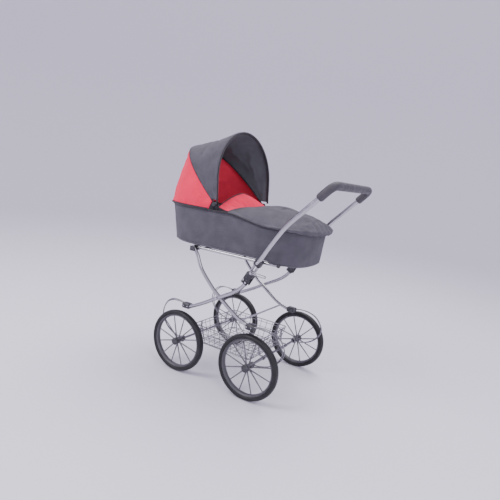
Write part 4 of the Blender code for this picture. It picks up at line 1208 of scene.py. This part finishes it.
def hood_panel(first, last, rows, swell, sag=0.0):
    """Rows from one edge to the other, drawn in between the bows and out by the cloth's slack."""
    made = []
    for k in range(rows + 1):
        share = k / rows
        row = []
        for a, b in zip(first, last):
            place = a.lerp(b, share)
            away = (place - CANOPY_MIDDLE).normalized()
            row.append(place + away * (swell - sag) * math.sin(math.pi * share))
        made.append(list(reversed(row)))
    return made


def pulls(seed, depth):
    """Soft folds in stretched cloth, none at its sewn edges."""
    def shape(s, t):
        held = math.sin(math.pi * s) ** 0.7
        lines = wrinkle(Vector((s * 0.05, t * 0.62, 0)), 0.055, depth, seed)
        return held * (lines + wrinkle(Vector((s * 0.2, t * 0.6, 1)), 0.02, depth * 0.3, seed + 3))
    return shape


def stretched(rows, depth, seed, slack):
    """Rows of a panel with soft folds, then pulled between its sewn edges by simulation."""
    last, width = len(rows) - 1, len(rows[0])
    shape = pulls(seed, depth)
    for i, row in enumerate(rows):
        for j, place in enumerate(row):
            away = (place - CANOPY_MIDDLE).normalized()
            row[j] = place + away * shape(i / last, j / (width - 1))
    return simulated(rows, sewn_edges(rows), 0.6, slack, 0.0035)


def oval_band(name, outer, inner, thickness, body, replaced):
    """A sewn sleeve round a bow, flat and rounded, between two lines."""
    deep = Vector((thickness / 2, 0, 0))
    rings = [round_ring((a + b) / 2, (a - b) / 2, deep, 14) for a, b in zip(outer, inner)]
    return make(name, *lofted(rings), [PIPING], body, "black_plastic", replaced, angle=60)


def hood():
    front = shifted(front_bow(PANEL_OUT, 0.6040), 0.0020, 0)
    rows = hood_panel(middle_bow(0.0070, 0.0006, 0.0200), front, 24, 0.0, 0.0060)
    rows = stretched(rows, 0.0026, 11.0, 0.012)
    piece = skin("hood_front_cloth", rows, 0.0016, [GREY, GREY_SHADED_INSIDE], None, "grey_fabric",
                 ["hood_front_panel"])
    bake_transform(piece)

    rim = [Vector((x, y, RIM_HEAD_Z + 0.0020)) for x, y in hood_foot()]
    rows = hood_panel(rim, middle_bow(0.0070, -0.0006, 0.0120), 24, 0.0035)
    rows = stretched(rows, 0.0022, 21.0, 0.012)
    piece = skin("hood_rear_cloth", rows, 0.0016, [CORAL, CORAL_SHADED_INSIDE], None, "coral_fabric",
                 ["hood_rear_panel"])
    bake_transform(piece)
    piping("hood_hem", [resampled(shifted(rim, 0, 0.0004), 120)], 0.0034)

    outer = shifted(front_bow(PANEL_OUT + 0.0004), 0.0026, 0)
    inner = shifted(front_bow(0.0004), 0.0006, 0)
    oval_band("front_bow_binding", outer, inner, 0.0046, "hood_front", ["hood_front_bow"])
    outer, inner = middle_bow(0.0080, 0.0, 0.0100), middle_bow(-0.0014, 0.0, 0.0060)
    oval_band("middle_bow_sleeve", outer, inner, 0.0034, "hood_middle", ["hood_middle_bow"])
    for side, sign in SIDES.items():
        for bow, y, body in (("front", 0.1580, "hood_front"), ("middle", 0.1535, "hood_middle")):
            dome(f"{bow}_bow_eye_{side}", HOOD_PIVOT, sign * (y - 0.0015), sign * (y + 0.0015),
                 0.0064, BLACK, body, "black_plastic")
    seam = shifted(front_bow(PANEL_OUT - 0.0006, 0.6400), -0.0075, 0)
    stitches("front_edge_stitches", seam, STITCH_R, THREAD_GREY, "hood_front")


def hood_foot():
    """The rear panel's lower edge: from the near pivot round the head to the far one."""
    points = []
    for k in range(81):
        a = math.pi * k / 80
        points.append(Vector((-0.0950 - 0.2400 * power(math.sin(a), 0.94),
                              -0.1572 * power(math.cos(a), 0.80), 0)))
    return [(p.x, p.y) for p in resampled(points, BOW_STEPS)]


# ---------------------------------------------------------------- the CAD nodes that stay


def dress():
    """Better finishes for the CAD nodes whose shape stays."""
    finishes = {"black": BLACK, "chromed": CHROME, "silver": RIM, "board": BOARD}
    for name, node in frame["nodes"].items():
        slot = next(s["material_slot"] for s in frame["record"]["subparts"] if s["node"] == name)
        for start, material in finishes.items():
            if slot.startswith(start):
                node.data.materials.clear()
                node.data.materials.append(material)


studio()
dress()
chassis()
handle()
basket()
shell()
mattress()
foot_cover()
wind_flap()
hood()
